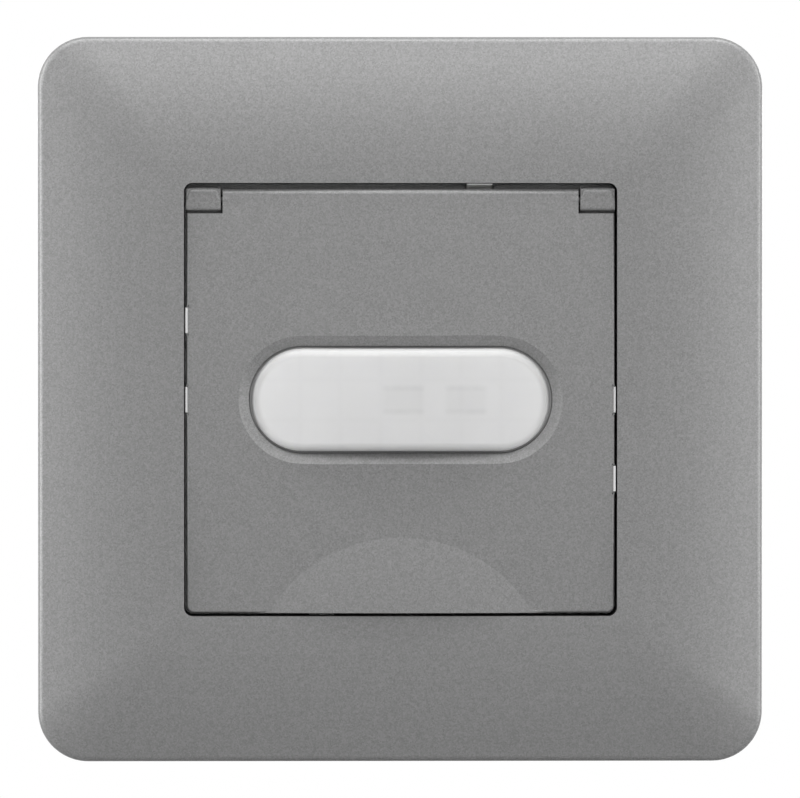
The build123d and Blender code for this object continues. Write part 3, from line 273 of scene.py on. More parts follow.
class MarkSettings(PropertyGroup):
    """Printed scales, words and moulded marks"""

    ticks: count_property("Ticks", "Ticks on each dial's scale", 11)
    sweep: angle_property("Sweep", "How far a dial turns", 270)
    tick_length: length_property("Tick length", "Length of one tick", 0.45 * MM)
    tick_width: length_property("Tick width", "Width of one tick", 0.14 * MM)
    tick_gap: length_property("Tick gap", "From a dial's edge to its ticks", 0.4 * MM)
    print_height: length_property("Print height", "Thickness of the print", 0.03 * MM)
    figure: length_property("Figure size", "Height of the figures", 1.25 * MM)
    word: length_property("Word size", "Height of the words beside the slider", 1.7 * MM)
    sign: length_property("Sign size", "Radius of the signs over the dials", 0.95 * MM)
    sign_rise: length_property("Sign rise", "From a dial's edge up to its sign", 2.75 * MM)
    end_drop: length_property("End drop", "From a dial's edge down to what its ends mean", 0.9 * MM)
    end_reach: length_property("End reach", "From a dial's middle out to what its ends mean", 2.7 * MM)
    slider_travel: length_property("Slider travel", "How far the slider moves", 5 * MM)
    slot_half: length_property("Slot half", "From the slider's middle to its ticks", 1.85 * MM)
    word_step: length_property("Word step", "From one word to the next", 5.4 * MM)
    word_rise: length_property("Word rise", "From the ticks' foot to the words", 1.55 * MM)
    letter: length_property("Letter size", "Height of the letters at the terminals", 2.6 * MM)
    letter_setback: length_property("Letter setback", "From the housing's seam to the letters", 5.5 * MM)
    relief: length_property("Relief", "How far raised marks stand out", 0.12 * MM)
    gauge_length: length_property("Strip length", "How much of a wire is stripped", 10 * MM)
    gauge_line: length_property("Gauge line", "Width of the gauge's lines", 0.3 * MM)
    gauge_setback: length_property("Gauge setback", "From the housing's back to the gauge", 3 * MM)
    gauge_rise: length_property("Gauge rise", "From the housing's lower side to the gauge", 11 * MM)


class RibSettings(PropertyGroup):
    """Ribs and ejector marks on the backs of the lid and the frame"""

    lid_recess: length_property("Lid recess", "Depth of the recess behind the lid", 0.5 * MM)
    rib_width: length_property("Rib width", "Width of a rib", 0.7 * MM)
    rib_height: length_property("Rib height", "How far a rib stands out of the recess", 0.4 * MM)
    rib_place: length_property("Rib place", "From the lid's middle to its upright ribs", 8 * MM)
    rib_rim: length_property("Rib rim", "From the lens to the ends of the ribs", 0.1 * MM)
    rib_top_setback: length_property("Top setback", "From the lid's top to its ribs", 4.1 * MM)
    rib_edge_setback: length_property("Edge setback", "From the lid's other edges to its ribs", 1.55 * MM)
    ejector_radius: length_property("Ejector radius", "Radius of an ejector mark", 1.5 * MM)
    ejector_line: length_property("Ejector line", "Width of an ejector mark's line", 0.1 * MM)
    ejector_reach: length_property("Ejector reach", "How far out the ejector marks lie", 14.5 * MM)
    frame_wall: length_property("Frame wall", "Thickness of the frame's wall", 2 * MM)
    frame_rib_front: length_property("Frame rib front", "Height of the frame's ribs at its wall", 5.7 * MM)
    frame_rib_back: length_property("Frame rib back", "Height at which the frame's ribs begin", 2.6 * MM)
    frame_rib_place: length_property("Frame rib place", "From a side's middle to its ribs", 23 * MM)
    frame_arch: length_property("Frame arch", "How much higher the frame's hollow is at its skirt", 1.9 * MM)
    skirt_reach: length_property("Skirt reach", "From the middle to the frame's skirt", 26.6 * MM)
    short_rib: length_property("Short rib", "How far a short rib stands out of the frame's wall", 1.4 * MM)
    short_rib_back: length_property("Short rib back", "Height at which the short ribs begin", 0.6 * MM)


class LatchSettings(PropertyGroup):
    """White tips of the latches in the gap round the lid, and the lips of the lid's notches"""

    reach: length_property("Reach", "From the middle to the outside of a tip", 24.88 * MM)
    tip_wall: length_property("Tip wall", "Thickness of a tip at the sides", 0.27 * MM)
    tip_length: length_property("Tip length", "Length of a tip", 2.96 * MM)
    tip_back: length_property("Tip back", "Height at which a side tip begins", 8.6 * MM)
    tip_front: length_property("Tip front", "Height of a side tip's end", 9.42 * MM)
    offset: length_property("Offset", "From a side's middle to its second latch", 9.15 * MM)
    top_wall: length_property("Top wall", "Thickness of the upper tip", 0.13 * MM)
    top_reach: length_property("Top reach", "From the middle up to the top of the upper tip", 24.97 * MM)
    top_back: length_property("Top back", "Height at which the upper tip begins", 6.2 * MM)
    top_front: length_property("Top front", "Height of the upper tip's end", 9.3 * MM)
    tip_edge: length_property("Tip edge", "Roundness of a tip's edges", 0.03 * MM)
    lip_inside: length_property("Lip inside", "From the middle to the inside of a lip", 24.44 * MM)
    lip_outside: length_property("Lip outside", "From the middle to the outside of a lip", 24.58 * MM)
    lid_edge: length_property("Lid edge", "From the middle to the lid's edge", 24.74 * MM)
    lip_length: length_property("Lip length", "Length of a lip with its ends", 3.56 * MM)
    lip_gap: length_property("Lip gap", "From a tip to a lip's end", 0.1 * MM)
    lip_back: length_property("Lip back", "Height at which a lip begins", 8.85 * MM)
    lip_front: length_property("Lip front", "Height of a lip beside the lid's middle", 9.49 * MM)
    lip_fall: length_property("Lip fall", "How much lower the second latch's lip is", 0.07 * MM)


class EdgeSettings(PropertyGroup):
    """Crisp rim of the frame's opening, and the rounded fronts of the hinge's ears"""

    opening: length_property("Opening", "Side of the frame's opening", 50.1 * MM)
    opening_corner: length_property("Opening corner", "Roundness of the opening's corners", 1.0 * MM)
    rim_width: length_property("Rim width", "Width of the rim round the opening", 0.47 * MM)
    rim_back: length_property("Rim back", "Height at which the rim begins", 9.0 * MM)
    rim_front: length_property("Rim front", "Height of the rim's front", 9.603 * MM)
    ear_inside: length_property("Ear inside", "From the middle to the inner side of an ear", 20.8 * MM)
    ear_outside: length_property("Ear outside", "From the middle to the outer side of an ear", 24.78 * MM)
    ear_bottom: length_property("Ear bottom", "Height of an ear's lower side", 21.8 * MM)
    ear_top: length_property("Ear top", "Height of an ear's upper side", 24.66 * MM)
    ear_back: length_property("Ear back", "Height at which an ear's front begins", 7.6 * MM)
    ear_front: length_property("Ear front", "Height of an ear's front", 9.12 * MM)
    ear_corner: length_property("Ear corner", "Roundness of an ear's upper corners", 0.75 * MM)
    ear_roll: length_property("Ear roll", "Roundness of an ear's upper front edge", 0.7 * MM)
    ear_foot: length_property("Ear foot", "Roundness of an ear's lower front edge", 0.45 * MM)


class StudioSettings(PropertyGroup):
    """Camera, lamps and floor"""

    view_width: length_property("View width", "Width of the picture at the switch", 93.0 * MM)
    distance: length_property("Camera distance", "From the wall's surface to the camera", 0.9)
    turn: angle_property("Camera turn", "How far left the camera stands", 0.9)
    rise: angle_property("Camera rise", "How far up the camera stands", 0.9)
    aim: length_property("Aim", "Height in front of the wall that the camera looks at", 4.5 * MM)
    top: power_property("Top lamp", "Lamp close above", 1.6)
    high: power_property("High lamp", "Lamp above and in front", 1.75)
    left: power_property("Left lamp", "Lamp on the left", 1.86)
    right: power_property("Right lamp", "Lamp on the right", 1.3)
    front_left: power_property("Front left lamp", "Lamp in front on the left", 0.8)
    front_right: power_property("Front right lamp", "Lamp in front on the right", 1.12)
    back: power_property("Back lamp", "Lamp behind, for the views of the back", 2.0)
    fill: FloatProperty(name="Fill", description="Strength of the light from all around", default=0.12)
    floor_drop: length_property("Floor drop", "How far the floor lies below the switch", 30 * MM)
    floor_radius: length_property("Floor radius", "Radius of the round floor", 0.3)
    floor_colour: colour_property("Floor", "Colour of the floor", grey(0.8))
    floor_bounce: share_property("Floor bounce", "Share of its light that reaches the switch", 0.1)
    floor_fade: share_property("Floor fade", "Share of its radius at which the floor begins to fade", 0.45)
    floor_cloud: length_property("Floor clouds", "Size of the spots that differ in tone", 40 * MM)


# Materials
def new_material(name):
    """A material with one shader, as (material, shader)."""
    material = bpy.data.materials.new(name)
    material.use_nodes = True
    return material, material.node_tree.nodes["Principled BSDF"]


def add_node(material, kind, **values):
    """Adds a node, and sets its options and the sockets that values name."""
    node = material.node_tree.nodes.new(kind)
    for name, value in values.items():
        if name in node.bl_rna.properties:
            setattr(node, name, value)
        else:
            node.inputs[name.replace("_", " ")].default_value = value
    return node


def link(material, source, target):
    """Joins an output socket to an input socket."""
    material.node_tree.links.new(source, target)


def place_node(material):
    """The place on the piece, in metres."""
    return add_node(material, "ShaderNodeTexCoord").outputs["Object"]


def maths(material, operation, first, second=0.0):
    """The result of a sum on two sockets or numbers."""
    node = add_node(material, "ShaderNodeMath", operation=operation)
    for socket, value in zip(node.inputs, (first, second)):
        if isinstance(value, bpy.types.NodeSocket):
            link(material, value, socket)
        else:
            socket.default_value = value
    return node.outputs["Value"]


def spread_value(material, factor, low, high):
    """A value that goes from low to high with the factor."""
    spread = add_node(material, "ShaderNodeMapRange")
    spread.inputs["To Min"].default_value = low
    spread.inputs["To Max"].default_value = high
    link(material, factor, spread.inputs["Value"])
    return spread.outputs["Result"]


def noise(material, size, detail=2.0):
    """Soft noise with spots of this size."""
    cloud = add_node(material, "ShaderNodeTexNoise", Scale=1 / size, Detail=detail)
    link(material, place_node(material), cloud.inputs["Vector"])
    return cloud.outputs["Fac"]


def bump(material, shader, height, depth):
    """Lets a height, times a depth in metres, stand out of the surface."""
    relief = add_node(material, "ShaderNodeBump", Strength=1.0, Distance=depth)
    link(material, height, relief.inputs["Height"])
    link(material, relief.outputs["Normal"], shader.inputs["Normal"])


def mix_colours(material, shader, first, second, factor):
    """Gives a shader a colour that goes from the first to the second with the factor."""
    tone = add_node(material, "ShaderNodeMixRGB")
    tone.inputs["Color1"].default_value = (*first, 1)
    tone.inputs["Color2"].default_value = (*second, 1)
    link(material, factor, tone.inputs["Fac"])
    link(material, tone.outputs["Color"], shader.inputs["Base Color"])


def vary_colour(material, shader, colour, factor, low, high):
    """Gives a shader this colour, times a share that goes from low to high with the factor."""
    first = [part * low for part in colour]
    second = [part * high for part in colour]
    mix_colours(material, shader, first, second, factor)


def vary_gloss(material, shader, factor, low, high):
    """Gives a shader a roughness that goes from low to high with the factor."""
    link(material, spread_value(material, factor, low, high), shader.inputs["Roughness"])


def lacquer_material(settings):
    """Satin grey lacquer with fine flecks."""
    material, shader = new_material("satin_lacquer")
    shader.inputs["Metallic"].default_value = settings.metallic
    flecks = add_node(material, "ShaderNodeTexVoronoi", Scale=1 / settings.grain_size)
    link(material, place_node(material), flecks.inputs["Vector"])
    share = settings.grain_share
    fleck = flecks.outputs["Color"]
    vary_colour(material, shader, settings.colour, fleck, low=1 - share, high=1 + share)
    rough = settings.roughness
    share = settings.cloud_share
    clouds = noise(material, settings.cloud_size, detail=3)
    vary_gloss(material, shader, clouds, low=rough - share, high=rough + share)
    waves = noise(material, 1.6 * settings.grain_size)
    bump(material, shader, waves, settings.relief)
    return material


def plastic_material(name, colour, grain, roughness=0.42, glow=0.0):
    """Moulded plastic with the fine grain of its mould and a slight change of tone."""
    settings = bpy.context.scene.switch_plastic
    material, shader = new_material(name)
    clouds = noise(material, settings.cloud_size)
    vary_colour(material, shader, colour, clouds, low=0.94, high=1.05)
    polish = noise(material, settings.polish_size)
    vary_gloss(material, shader, polish, low=roughness - 0.08, high=roughness + 0.08)
    shader.inputs["Subsurface Weight"].default_value = glow
    shader.inputs["Subsurface Radius"].default_value = GLOW_DEPTHS
    shader.inputs["Subsurface Scale"].default_value = 1
    bump(material, shader, noise(material, grain, detail=3), settings.relief)
    return material


def metal_material(name, colour, roughness=0.3, streak=(1, 1, 1), spot=0.4 * MM):
    """Metal whose streaks are stretched by these shares along X, Y and Z."""
    material, shader = new_material(name)
    shader.inputs["Metallic"].default_value = 1
    stretched = add_node(material, "ShaderNodeMapping")
    stretched.inputs["Scale"].default_value = streak
    link(material, place_node(material), stretched.inputs["Vector"])
    texture = add_node(material, "ShaderNodeTexNoise", Scale=1 / spot, Detail=3)
    link(material, stretched.outputs["Vector"], texture.inputs["Vector"])
    streaks = texture.outputs["Fac"]
    vary_colour(material, shader, colour, streaks, low=0.8, high=1.12)
    vary_gloss(material, shader, streaks, low=roughness - 0.12, high=roughness + 0.14)
    bump(material, shader, streaks, bpy.context.scene.switch_metal.relief)
    return material


def zinc_material(settings):
    """Galvanised sheet with the crystals of its zinc."""
    material, shader = new_material("galvanised_steel")
    shader.inputs["Metallic"].default_value = 1
    crystals = add_node(material, "ShaderNodeTexVoronoi", Scale=1 / settings.spangle)
    link(material, place_node(material), crystals.inputs["Vector"])
    crystal = crystals.outputs["Color"]
    vary_colour(material, shader, settings.zinc, crystal, low=0.82, high=1.12)
    vary_gloss(material, shader, crystal, low=0.3, high=0.5)
    bump(material, shader, noise(material, settings.sheet_grain, detail=3), settings.sheet_relief)
    return material


def wire_material(settings):
    """Enamelled wire wound in fine turns."""
    material, shader = new_material("wound_wire")
    shader.inputs["Metallic"].default_value = 0.85
    shader.inputs["Roughness"].default_value = 0.3
    waves = add_node(
        material, "ShaderNodeTexWave", bands_direction="DIAGONAL", Scale=0.5 / settings.wire, Distortion=0.3
    )
    link(material, place_node(material), waves.inputs["Vector"])
    turns = waves.outputs["Fac"]
    vary_colour(material, shader, settings.copper, turns, low=0.5, high=1.1)
    bump(material, shader, turns, settings.wire_relief)
    return material


def board_material(settings):
    """Green solder mask over square runs of copper."""
    material, shader = new_material("circuit_board")
    runs = add_node(
        material,
        "ShaderNodeTexVoronoi",
        distance="MANHATTAN",
        feature="F1",
        Scale=0.5 / settings.pitch,
        Randomness=0.75,
    )
    link(material, place_node(material), runs.inputs["Vector"])
    steps = maths(material, "MULTIPLY", runs.outputs["Distance"], settings.trace_steps)
    copper = maths(material, "GREATER_THAN", maths(material, "FRACT", steps), settings.trace_share)
    mix_colours(material, shader, settings.mask, settings.trace, copper)
    vary_gloss(material, shader, noise(material, settings.gloss_size), low=0.18, high=0.34)
    shader.inputs["Coat Weight"].default_value = 0.4
    bump(material, shader, copper, settings.relief)
    return material


def clear_material(settings):
    """Clear cast resin of the light sensor and the status light."""
    material, shader = new_material("clear_resin")
    clouds = noise(material, settings.resin_cloud)
    vary_colour(material, shader, settings.resin, clouds, low=0.9, high=1.05)
    shader.inputs["Transmission Weight"].default_value = 0.8
    shader.inputs["Roughness"].default_value = 0.08
    return material


def near_line(material, place, pitch, width):
    """One on lines across this axis, soft at their edges, and nothing between them."""
    along = maths(material, "PINGPONG", maths(material, "ADD", place, pitch / 2), pitch / 2)
    away = maths(material, "DIVIDE", along, width)
    return maths(material, "MAXIMUM", maths(material, "SUBTRACT", 1.0, away), 0.0)


def soft_band(material, place, middle, half, fade):
    """One in a band about a place, that fades to nothing across its edges."""
    away = maths(material, "ABSOLUTE", maths(material, "SUBTRACT", place, middle))
    spread = add_node(material, "ShaderNodeMapRange", interpolation_type="SMOOTHSTEP")
    spread.inputs["From Min"].default_value = half + fade / 2
    spread.inputs["From Max"].default_value = half - fade / 2
    link(material, away, spread.inputs["Value"])
    return spread.outputs["Result"]


def shade_behind(material, settings, across, up, at):
    """Painted shade of one sensor window behind the lens: a soft square with a darker upper and lower edge,
    broken up by noise.
    """
    half = settings.shade_height / 2
    line = settings.shade_edge
    wide = soft_band(material, across, at, settings.shade_width / 2, settings.shade_fade)
    inside = maths(material, "MULTIPLY", soft_band(material, up, 0, half, line), settings.shade_share)
    upper = soft_band(material, up, half, line / 2, line)
    lower = soft_band(material, up, -half, line / 2, line)
    edges = maths(material, "ADD", upper, lower)
    # Noise breaks the painted shade's edges into patches
    patchy_edges = maths(material, "MULTIPLY", noise(material, settings.shade_gap_size), 2 * settings.edge_share)
    edges = maths(material, "MULTIPLY", edges, patchy_edges)
    return maths(material, "MULTIPLY", wide, maths(material, "ADD", inside, edges))


def painted_rim_shade(material, settings, across, up):
    """Painted shade on the lens's rim, most at its ends and less above, and painted light that makes it
    lighter below.
    """
    low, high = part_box("fresnel_lens")
    radius = (high.z - low.z) / 2 - LENS_FLANGE
    straight = (high.x - low.x) / 2 - LENS_FLANGE - radius
    beyond = maths(material, "SUBTRACT", maths(material, "ABSOLUTE", across), straight)
    past = maths(material, "MAXIMUM", beyond, 0.0)
    square = maths(material, "ADD", maths(material, "POWER", past, 2.0), maths(material, "POWER", up, 2.0))
    spread = add_node(material, "ShaderNodeMapRange", interpolation_type="SMOOTHSTEP")
    spread.inputs["From Min"].default_value = radius - settings.rim
    spread.inputs["From Max"].default_value = radius
    link(material, maths(material, "SQRT", square), spread.inputs["Value"])
    height = maths(material, "DIVIDE", up, radius)
    ends = maths(material, "MULTIPLY", maths(material, "DIVIDE", past, radius), settings.end_shade_share)
    upper = spread_value(material, maths(material, "ADD", height, 1.0), low=0, high=1)
    dark = maths(material, "MULTIPLY", upper, maths(material, "ADD", ends, settings.rim_shade_share))
    # Painted light that lightens the lower rim of the lens
    below = maths(material, "SUBTRACT", maths(material, "MULTIPLY", height, -2.0), 1.0)
    glow = spread_value(material, below, low=0, high=settings.lower_rim_light_share)
    return maths(material, "MULTIPLY", spread.outputs["Result"], maths(material, "SUBTRACT", dark, glow))


def lens_material(settings):
    """Milky plastic with faint segments, the painted shade of what stands behind it, and painted shade and
    light on its rim and foot.
    """
    material, shader = new_material("milky_lens")
    axes = add_node(material, "ShaderNodeSeparateXYZ")
    link(material, place_node(material), axes.inputs["Vector"])
    across, up = axes.outputs["X"], axes.outputs["Z"]
    lines = maths(
        material,
        "MAXIMUM",
        near_line(material, across, settings.segment, settings.segment_line),
        near_line(material, up, settings.segment, settings.segment_line),
    )
    dark = maths(material, "MULTIPLY", lines, settings.line_share)
    for at in (settings.shade_place, settings.shade_place + settings.shade_step):
        dark = maths(material, "ADD", dark, shade_behind(material, settings, across, up, at))
    low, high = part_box("fresnel_lens")
    # Painted shade, darker towards the lens's foot
    foot_shade = maths(material, "MULTIPLY", up, -settings.foot_shade_share / (high.z - low.z))
    dark = maths(material, "ADD", dark, maths(material, "ADD", foot_shade, settings.foot_shade_share / 2))
    # Painted shade and painted light on the rim
    dark = maths(material, "ADD", dark, painted_rim_shade(material, settings, across, up))
    clouds = noise(material, settings.cloud_size, detail=3)
    cloud = maths(material, "MULTIPLY", clouds, settings.cloud_share)
    dark = maths(material, "ADD", dark, maths(material, "ADD", cloud, 1 - 1 / LENS_HEADROOM))
    vary_colour(material, shader, settings.colour, dark, low=LENS_TONE * LENS_HEADROOM, high=0)
    shader.inputs["Roughness"].default_value = settings.roughness
    shader.inputs["Subsurface Weight"].default_value = 0.8
    shader.inputs["Subsurface Radius"].default_value = (1, 1, 0.95)
    shader.inputs["Subsurface Scale"].default_value = settings.depth
    bump(material, shader, noise(material, settings.grain_size), settings.relief)
    return material


def finish_of(name):
    """The material that a node of the frame wears."""
    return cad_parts[name].data.materials[0]


def dress(material, *names):
    """Gives nodes of the frame a material."""
    for name in names:
        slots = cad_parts[name].data.materials
        slots.clear()
        slots.append(material)


# Modelling
def select_only(*pieces):
    """Selects these pieces alone, the first of them active."""
    bpy.ops.object.select_all(action="DESELECT")
    for piece in pieces:
        piece.select_set(True)
    if pieces:
        bpy.context.view_layer.objects.active = pieces[0]


def join(pieces):
    """One mesh of several pieces."""
    select_only(*pieces)
    if len(pieces) > 1:
        bpy.ops.object.join()
    bpy.ops.object.transform_apply(location=True, rotation=True, scale=True)
    return pieces[0]


def apply_modifier(piece, kind, **values):
    """Adds a modifier with these values and applies it."""
    select_only(piece)
    bpy.ops.object.modifier_add(type=kind)
    modifier = piece.modifiers[-1]
    for name, value in values.items():
        setattr(modifier, name, value)
    bpy.ops.object.modifier_apply(modifier=modifier.name)


@contextmanager
def edit_mode():
    """Runs what stands in it in edit mode."""
    bpy.ops.object.mode_set(mode="EDIT")
    yield
    bpy.ops.object.mode_set(mode="OBJECT")


def smooth(piece):
    """Shades a piece smooth, but not across its sharp edges."""
    select_only(piece)
    bpy.ops.object.shade_smooth_by_angle(angle=SMOOTH_ANGLE)


def add_block(low, high, edge=0.0):
    """A block between two corners, with its edges rounded off."""
    select_only()
    middle = [(start + end) / 2 for start, end in zip(low, high)]
    size = [end - start for start, end in zip(low, high)]
    bpy.ops.mesh.primitive_cube_add(size=1, location=middle, scale=size)
    block = join([bpy.context.object])
    if edge:
        apply_modifier(block, "BEVEL", width=edge, segments=2)
    return block


def bevel_edges(piece, width, segments, chosen):
    """Rounds off the edges of a piece for which chosen(one end, other end) is true."""
    select_only(piece)
    with edit_mode():
        bpy.ops.mesh.select_mode(type="EDGE")
        bpy.ops.mesh.select_all(action="DESELECT")
    for edge in piece.data.edges:
        edge.select = chosen(*(piece.data.vertices[index].co for index in edge.vertices))
    with edit_mode():
        bpy.ops.mesh.bevel(offset=width, segments=segments, affect="EDGES")
        bpy.ops.mesh.select_mode(type="VERT")


def along_depth(start, end):
    """True for an edge that runs from back to front."""
    return abs(start.y - end.y) > max(abs(start.x - end.x), abs(start.z - end.z))


def add_plate(length, width, back, front, corner):
    """A plate about the middle with round corners, between two heights."""
    plate = add_block((-length / 2, -front, -width / 2), (length / 2, -back, width / 2))
    bevel_edges(plate, corner, segments=24, chosen=along_depth)
    return plate


def add_capsule(length, width, back, front):
    """A plate about the middle with half round ends, between two heights."""
    return add_plate(length, width, back, front, ROUND_END_SHARE * width)


def add_disc(radius, at, back, front, sides=32):
    """A round disc that faces the front, between two depths."""
    select_only()
    bpy.ops.mesh.primitive_cylinder_add(
        vertices=sides,
        radius=radius,
        depth=back - front,
        location=(at[0], (back + front) / 2, at[1]),
        rotation=FACING_FRONT,
    )
    return join([bpy.context.object])


def cut(piece, tool):
    """Takes one closed piece out of another."""
    apply_modifier(piece, "BOOLEAN", object=tool, operation="DIFFERENCE", solver="EXACT")
    bpy.data.objects.remove(tool)
    return piece


def add_ring(radius, width, at, back, front, sides=32):
    """A flat ring that faces the front."""
    deep = back - front
    ring = add_disc(radius, at, back, front, sides)
    return cut(ring, add_disc(radius - width, at, back + deep, front - deep, sides))


def add_arc(radius, width, at, back, front, start, sweep, steps=12):
    """A flat arc that faces the front, from one angle on past another."""
    select_only()
    bpy.ops.mesh.primitive_plane_add(size=1, location=(radius, (back + front) / 2, 0))
    arc = bpy.context.object
    arc.scale = (width, back - front, 1)
    join([arc])
    with edit_mode():
        bpy.ops.mesh.select_all(action="SELECT")
        bpy.ops.mesh.spin(steps=steps, angle=sweep, center=(0, 0, 0), axis=(0, -1, 0))
        bpy.ops.mesh.select_all(action="SELECT")
        bpy.ops.mesh.remove_doubles(threshold=NEAR)
        bpy.ops.mesh.normals_make_consistent(inside=False)
    arc.rotation_euler = (0, -start, 0)
    arc.location = (at[0], 0, at[1])
    return join([arc])


def add_words(words, height, at, depth, turn=FACING_FRONT):
    """Letters that stand out on both sides of their place by half a depth."""
    select_only()
    bpy.ops.object.text_add(location=at, rotation=turn)
    text = bpy.context.object
    text.data.body = words
    text.data.size = height
    text.data.resolution_u = 3
    text.data.extrude = depth / 2
    text.data.align_x = "CENTER"
    text.data.align_y = "CENTER"
    bpy.ops.object.convert(target="MESH")
    return join([bpy.context.object])


def copies(piece, places):
    """One copy of a piece for each (shift, turn about Y), and the piece itself gone."""
    made = []
    for shift, turn in places:
        select_only(piece)
        bpy.ops.object.duplicate()
        copy = bpy.context.object
        copy.location = shift
        copy.rotation_euler = (0, turn, 0)
        made.append(copy)
    bpy.data.objects.remove(piece)
    return join(made)


def finish_piece(piece, name, body, material):
    """Names a finished piece and ties it to its body and its finish."""
    piece.name = name
    piece.data.name = name
    piece.data.materials.clear()
    piece.data.materials.append(material)
    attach(piece, body)


def middle_of(name):
    """The middle of a node's box."""
    low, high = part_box(name)
    return (low + high) / 2


# Pieces
class SWITCH_OT_shells(Operator):
    """Lacquers the frame, the lid and the centre plate"""

    bl_idname = "light_switch.shells"
    bl_label = "Lacquered shells"

    def execute(self, context):
        material = lacquer_material(context.scene.switch_lacquer)
        dress(material, "cover_frame", "lid", "centre_plate")
        return {"FINISHED"}


def lens_seal(settings):
    """A thin seal that stands round the lens and closes its gap to the lid."""
    low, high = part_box("fresnel_lens")
    length = high.x - low.x - 2 * LENS_FLANGE
    width = high.z - low.z - 2 * LENS_FLANGE
    back, front = settings.seal_back, settings.seal_front
    out = 2 * settings.seal_outside
    inside = 2 * settings.seal_inside
    seal = add_capsule(length + out, width + out, back, front)
    return cut(seal, add_capsule(length - inside, width - inside, back - MM, front + MM))


class SWITCH_OT_lens(Operator):
    """Makes the lens milky and puts its seal round it"""

    bl_idname = "light_switch.lens"
    bl_label = "Lens"

    def execute(self, context):
        dress(lens_material(context.scene.switch_lens), "fresnel_lens")
        plastics = context.scene.switch_plastic
        rubber = plastic_material("seal_rubber", plastics.seal, plastics.fine_grain, roughness=0.6)
        finish_piece(lens_seal(context.scene.switch_lens), "lens_seal", "root", rubber)
        return {"FINISHED"}


class SWITCH_OT_plastics(Operator):
    """Finishes the housings, the dials and the dark electric parts"""

    bl_idname = "light_switch.plastics"
    bl_label = "Moulded plastics"

    def execute(self, context):
        settings = context.scene.switch_plastic
        grain = settings.grain_size
        white = plastic_material("white_plastic", settings.white, grain, roughness=0.45, glow=0.15)
        dress(white, "front_housing", "rear_housing")
        dial = plastic_material("dial_white", settings.dial, grain / 2, roughness=0.35, glow=0.1)
        dress(dial, *DIALS, "mode_slider")
        dress(plastic_material("sheet_white", settings.sheet, 2 * grain, roughness=0.6), "insulating_sheet")
        black = plastic_material("black_plastic", settings.black, grain, roughness=0.38)
        dress(black, "lens_holder", "header_pins", "header_socket", "relay_cover", "relay_base")
        resin = plastic_material("black_resin", settings.black, grain / 2, roughness=0.3)
        dress(resin, "controller_chip", "storage_capacitor", "bridge_rectifier", "sensor_filter")
        return {"FINISHED"}


class SWITCH_OT_metals(Operator):
    """Finishes the plate, the screws, the terminals and the wound wire"""

    bl_idname = "light_switch.metals"
    bl_label = "Metals"

    def execute(self, context):
        settings = context.scene.switch_metal
        dress(zinc_material(settings), "support_plate", "relay_yoke", "relay_armature")
        screws = metal_material("screw_steel", settings.steel, spot=0.3 * MM)
        dress(screws, "plate_screws", "case_screws", "board_screws")
        dress(metal_material("pin_steel", settings.pin, roughness=0.45, spot=0.3 * MM), "hinge_pins")
        dress(screws, *(f"terminal_screw_{number}" for number in TERMINALS))
        brass = metal_material("clamp_brass", settings.brass, streak=(1, 0.15, 1))
        dress(brass, "terminal_bars", "relay_contact", *(f"terminal_clamp_{number}" for number in TERMINALS))
        can = metal_material("can_steel", settings.can, roughness=0.26, streak=(1, 0.2, 1), spot=0.2 * MM)
        dress(can, "motion_sensor", "mode_switch")
        dress(wire_material(settings), "relay_coil", "choke_winding")
        return {"FINISHED"}


class SWITCH_OT_boards(Operator):
    """Finishes the circuit boards and the coloured parts on them"""

    bl_idname = "light_switch.boards"
    bl_label = "Circuit boards"

    def execute(self, context):
        settings = context.scene.switch_board
        grain = context.scene.switch_plastic.grain_size
        dress(board_material(settings), "sensor_board", "power_board")
        dress(plastic_material("yellow_case", settings.yellow, grain, roughness=0.3), "film_capacitor")
        blue = plastic_material("blue_resin", settings.blue, grain, roughness=0.32)
        dress(blue, "trimmers", "varistor", "fuse_resistor")
        dress(plastic_material("ferrite", settings.ferrite, grain, roughness=0.55), "choke")
        dress(clear_material(settings), "light_sensor", "status_light")
        return {"FINISHED"}


def dial_scale(dial, settings, back, front):
    """Ticks round a dial."""
    middle = middle_of(dial)
    inner = DIAL_RADIUS + settings.tick_gap
    tick = add_block(
        (inner, front, -settings.tick_width / 2),
        (inner + settings.tick_length, back, settings.tick_width / 2),
    )
    first = math.pi / 2 - settings.sweep / 2
    step = settings.sweep / (settings.ticks - 1)
    places = [((middle.x, 0, middle.z), -(first + index * step)) for index in range(settings.ticks)]
    return copies(tick, places)


def clock_sign(radius, at, back, front):
    """A clock face with two hands."""
    line = radius / 5
    half = line / 2
    short = add_block((at[0] - half, front, at[1] - half), (at[0] + radius / 2, back, at[1] + half))
    long = add_block((at[0] - half, front, at[1]), (at[0] + half, back, at[1] + 0.75 * radius))
    return join([add_ring(radius, line, at, back, front), short, long])


def sun_sign(radius, at, back, front, rays=8):
    """A disc in a ring of rays."""
    half = radius / 12
    ray = add_block((0.7 * radius, front, -half), (radius, back, half))
    turns = [((at[0], 0, at[1]), index * 2 * math.pi / rays) for index in range(rays)]
    return join([add_disc(radius / 2, at, back, front), copies(ray, turns)])


def moon_sign(radius, at, back, front):
    """A crescent."""
    deep = back - front
    moon = add_disc(radius, at, back, front)
    shade = (at[0] + radius / 2, at[1] + radius / 5)
    return cut(moon, add_disc(0.85 * radius, shade, back + deep, front - deep))


def reach_sign(radius, at, back, front, waves=3):
    """A dot with waves that spread from it."""
    line = radius / 5
    foot = (at[0] - radius, at[1])
    spread = math.pi / 5
    parts = [add_disc(line, foot, back, front, sides=16)]
    for wave in range(waves):
        reach = 2 * radius * (wave + 1) / waves
        parts.append(add_arc(reach, line, foot, back, front, start=-spread, sweep=2 * spread))
    return join(parts)


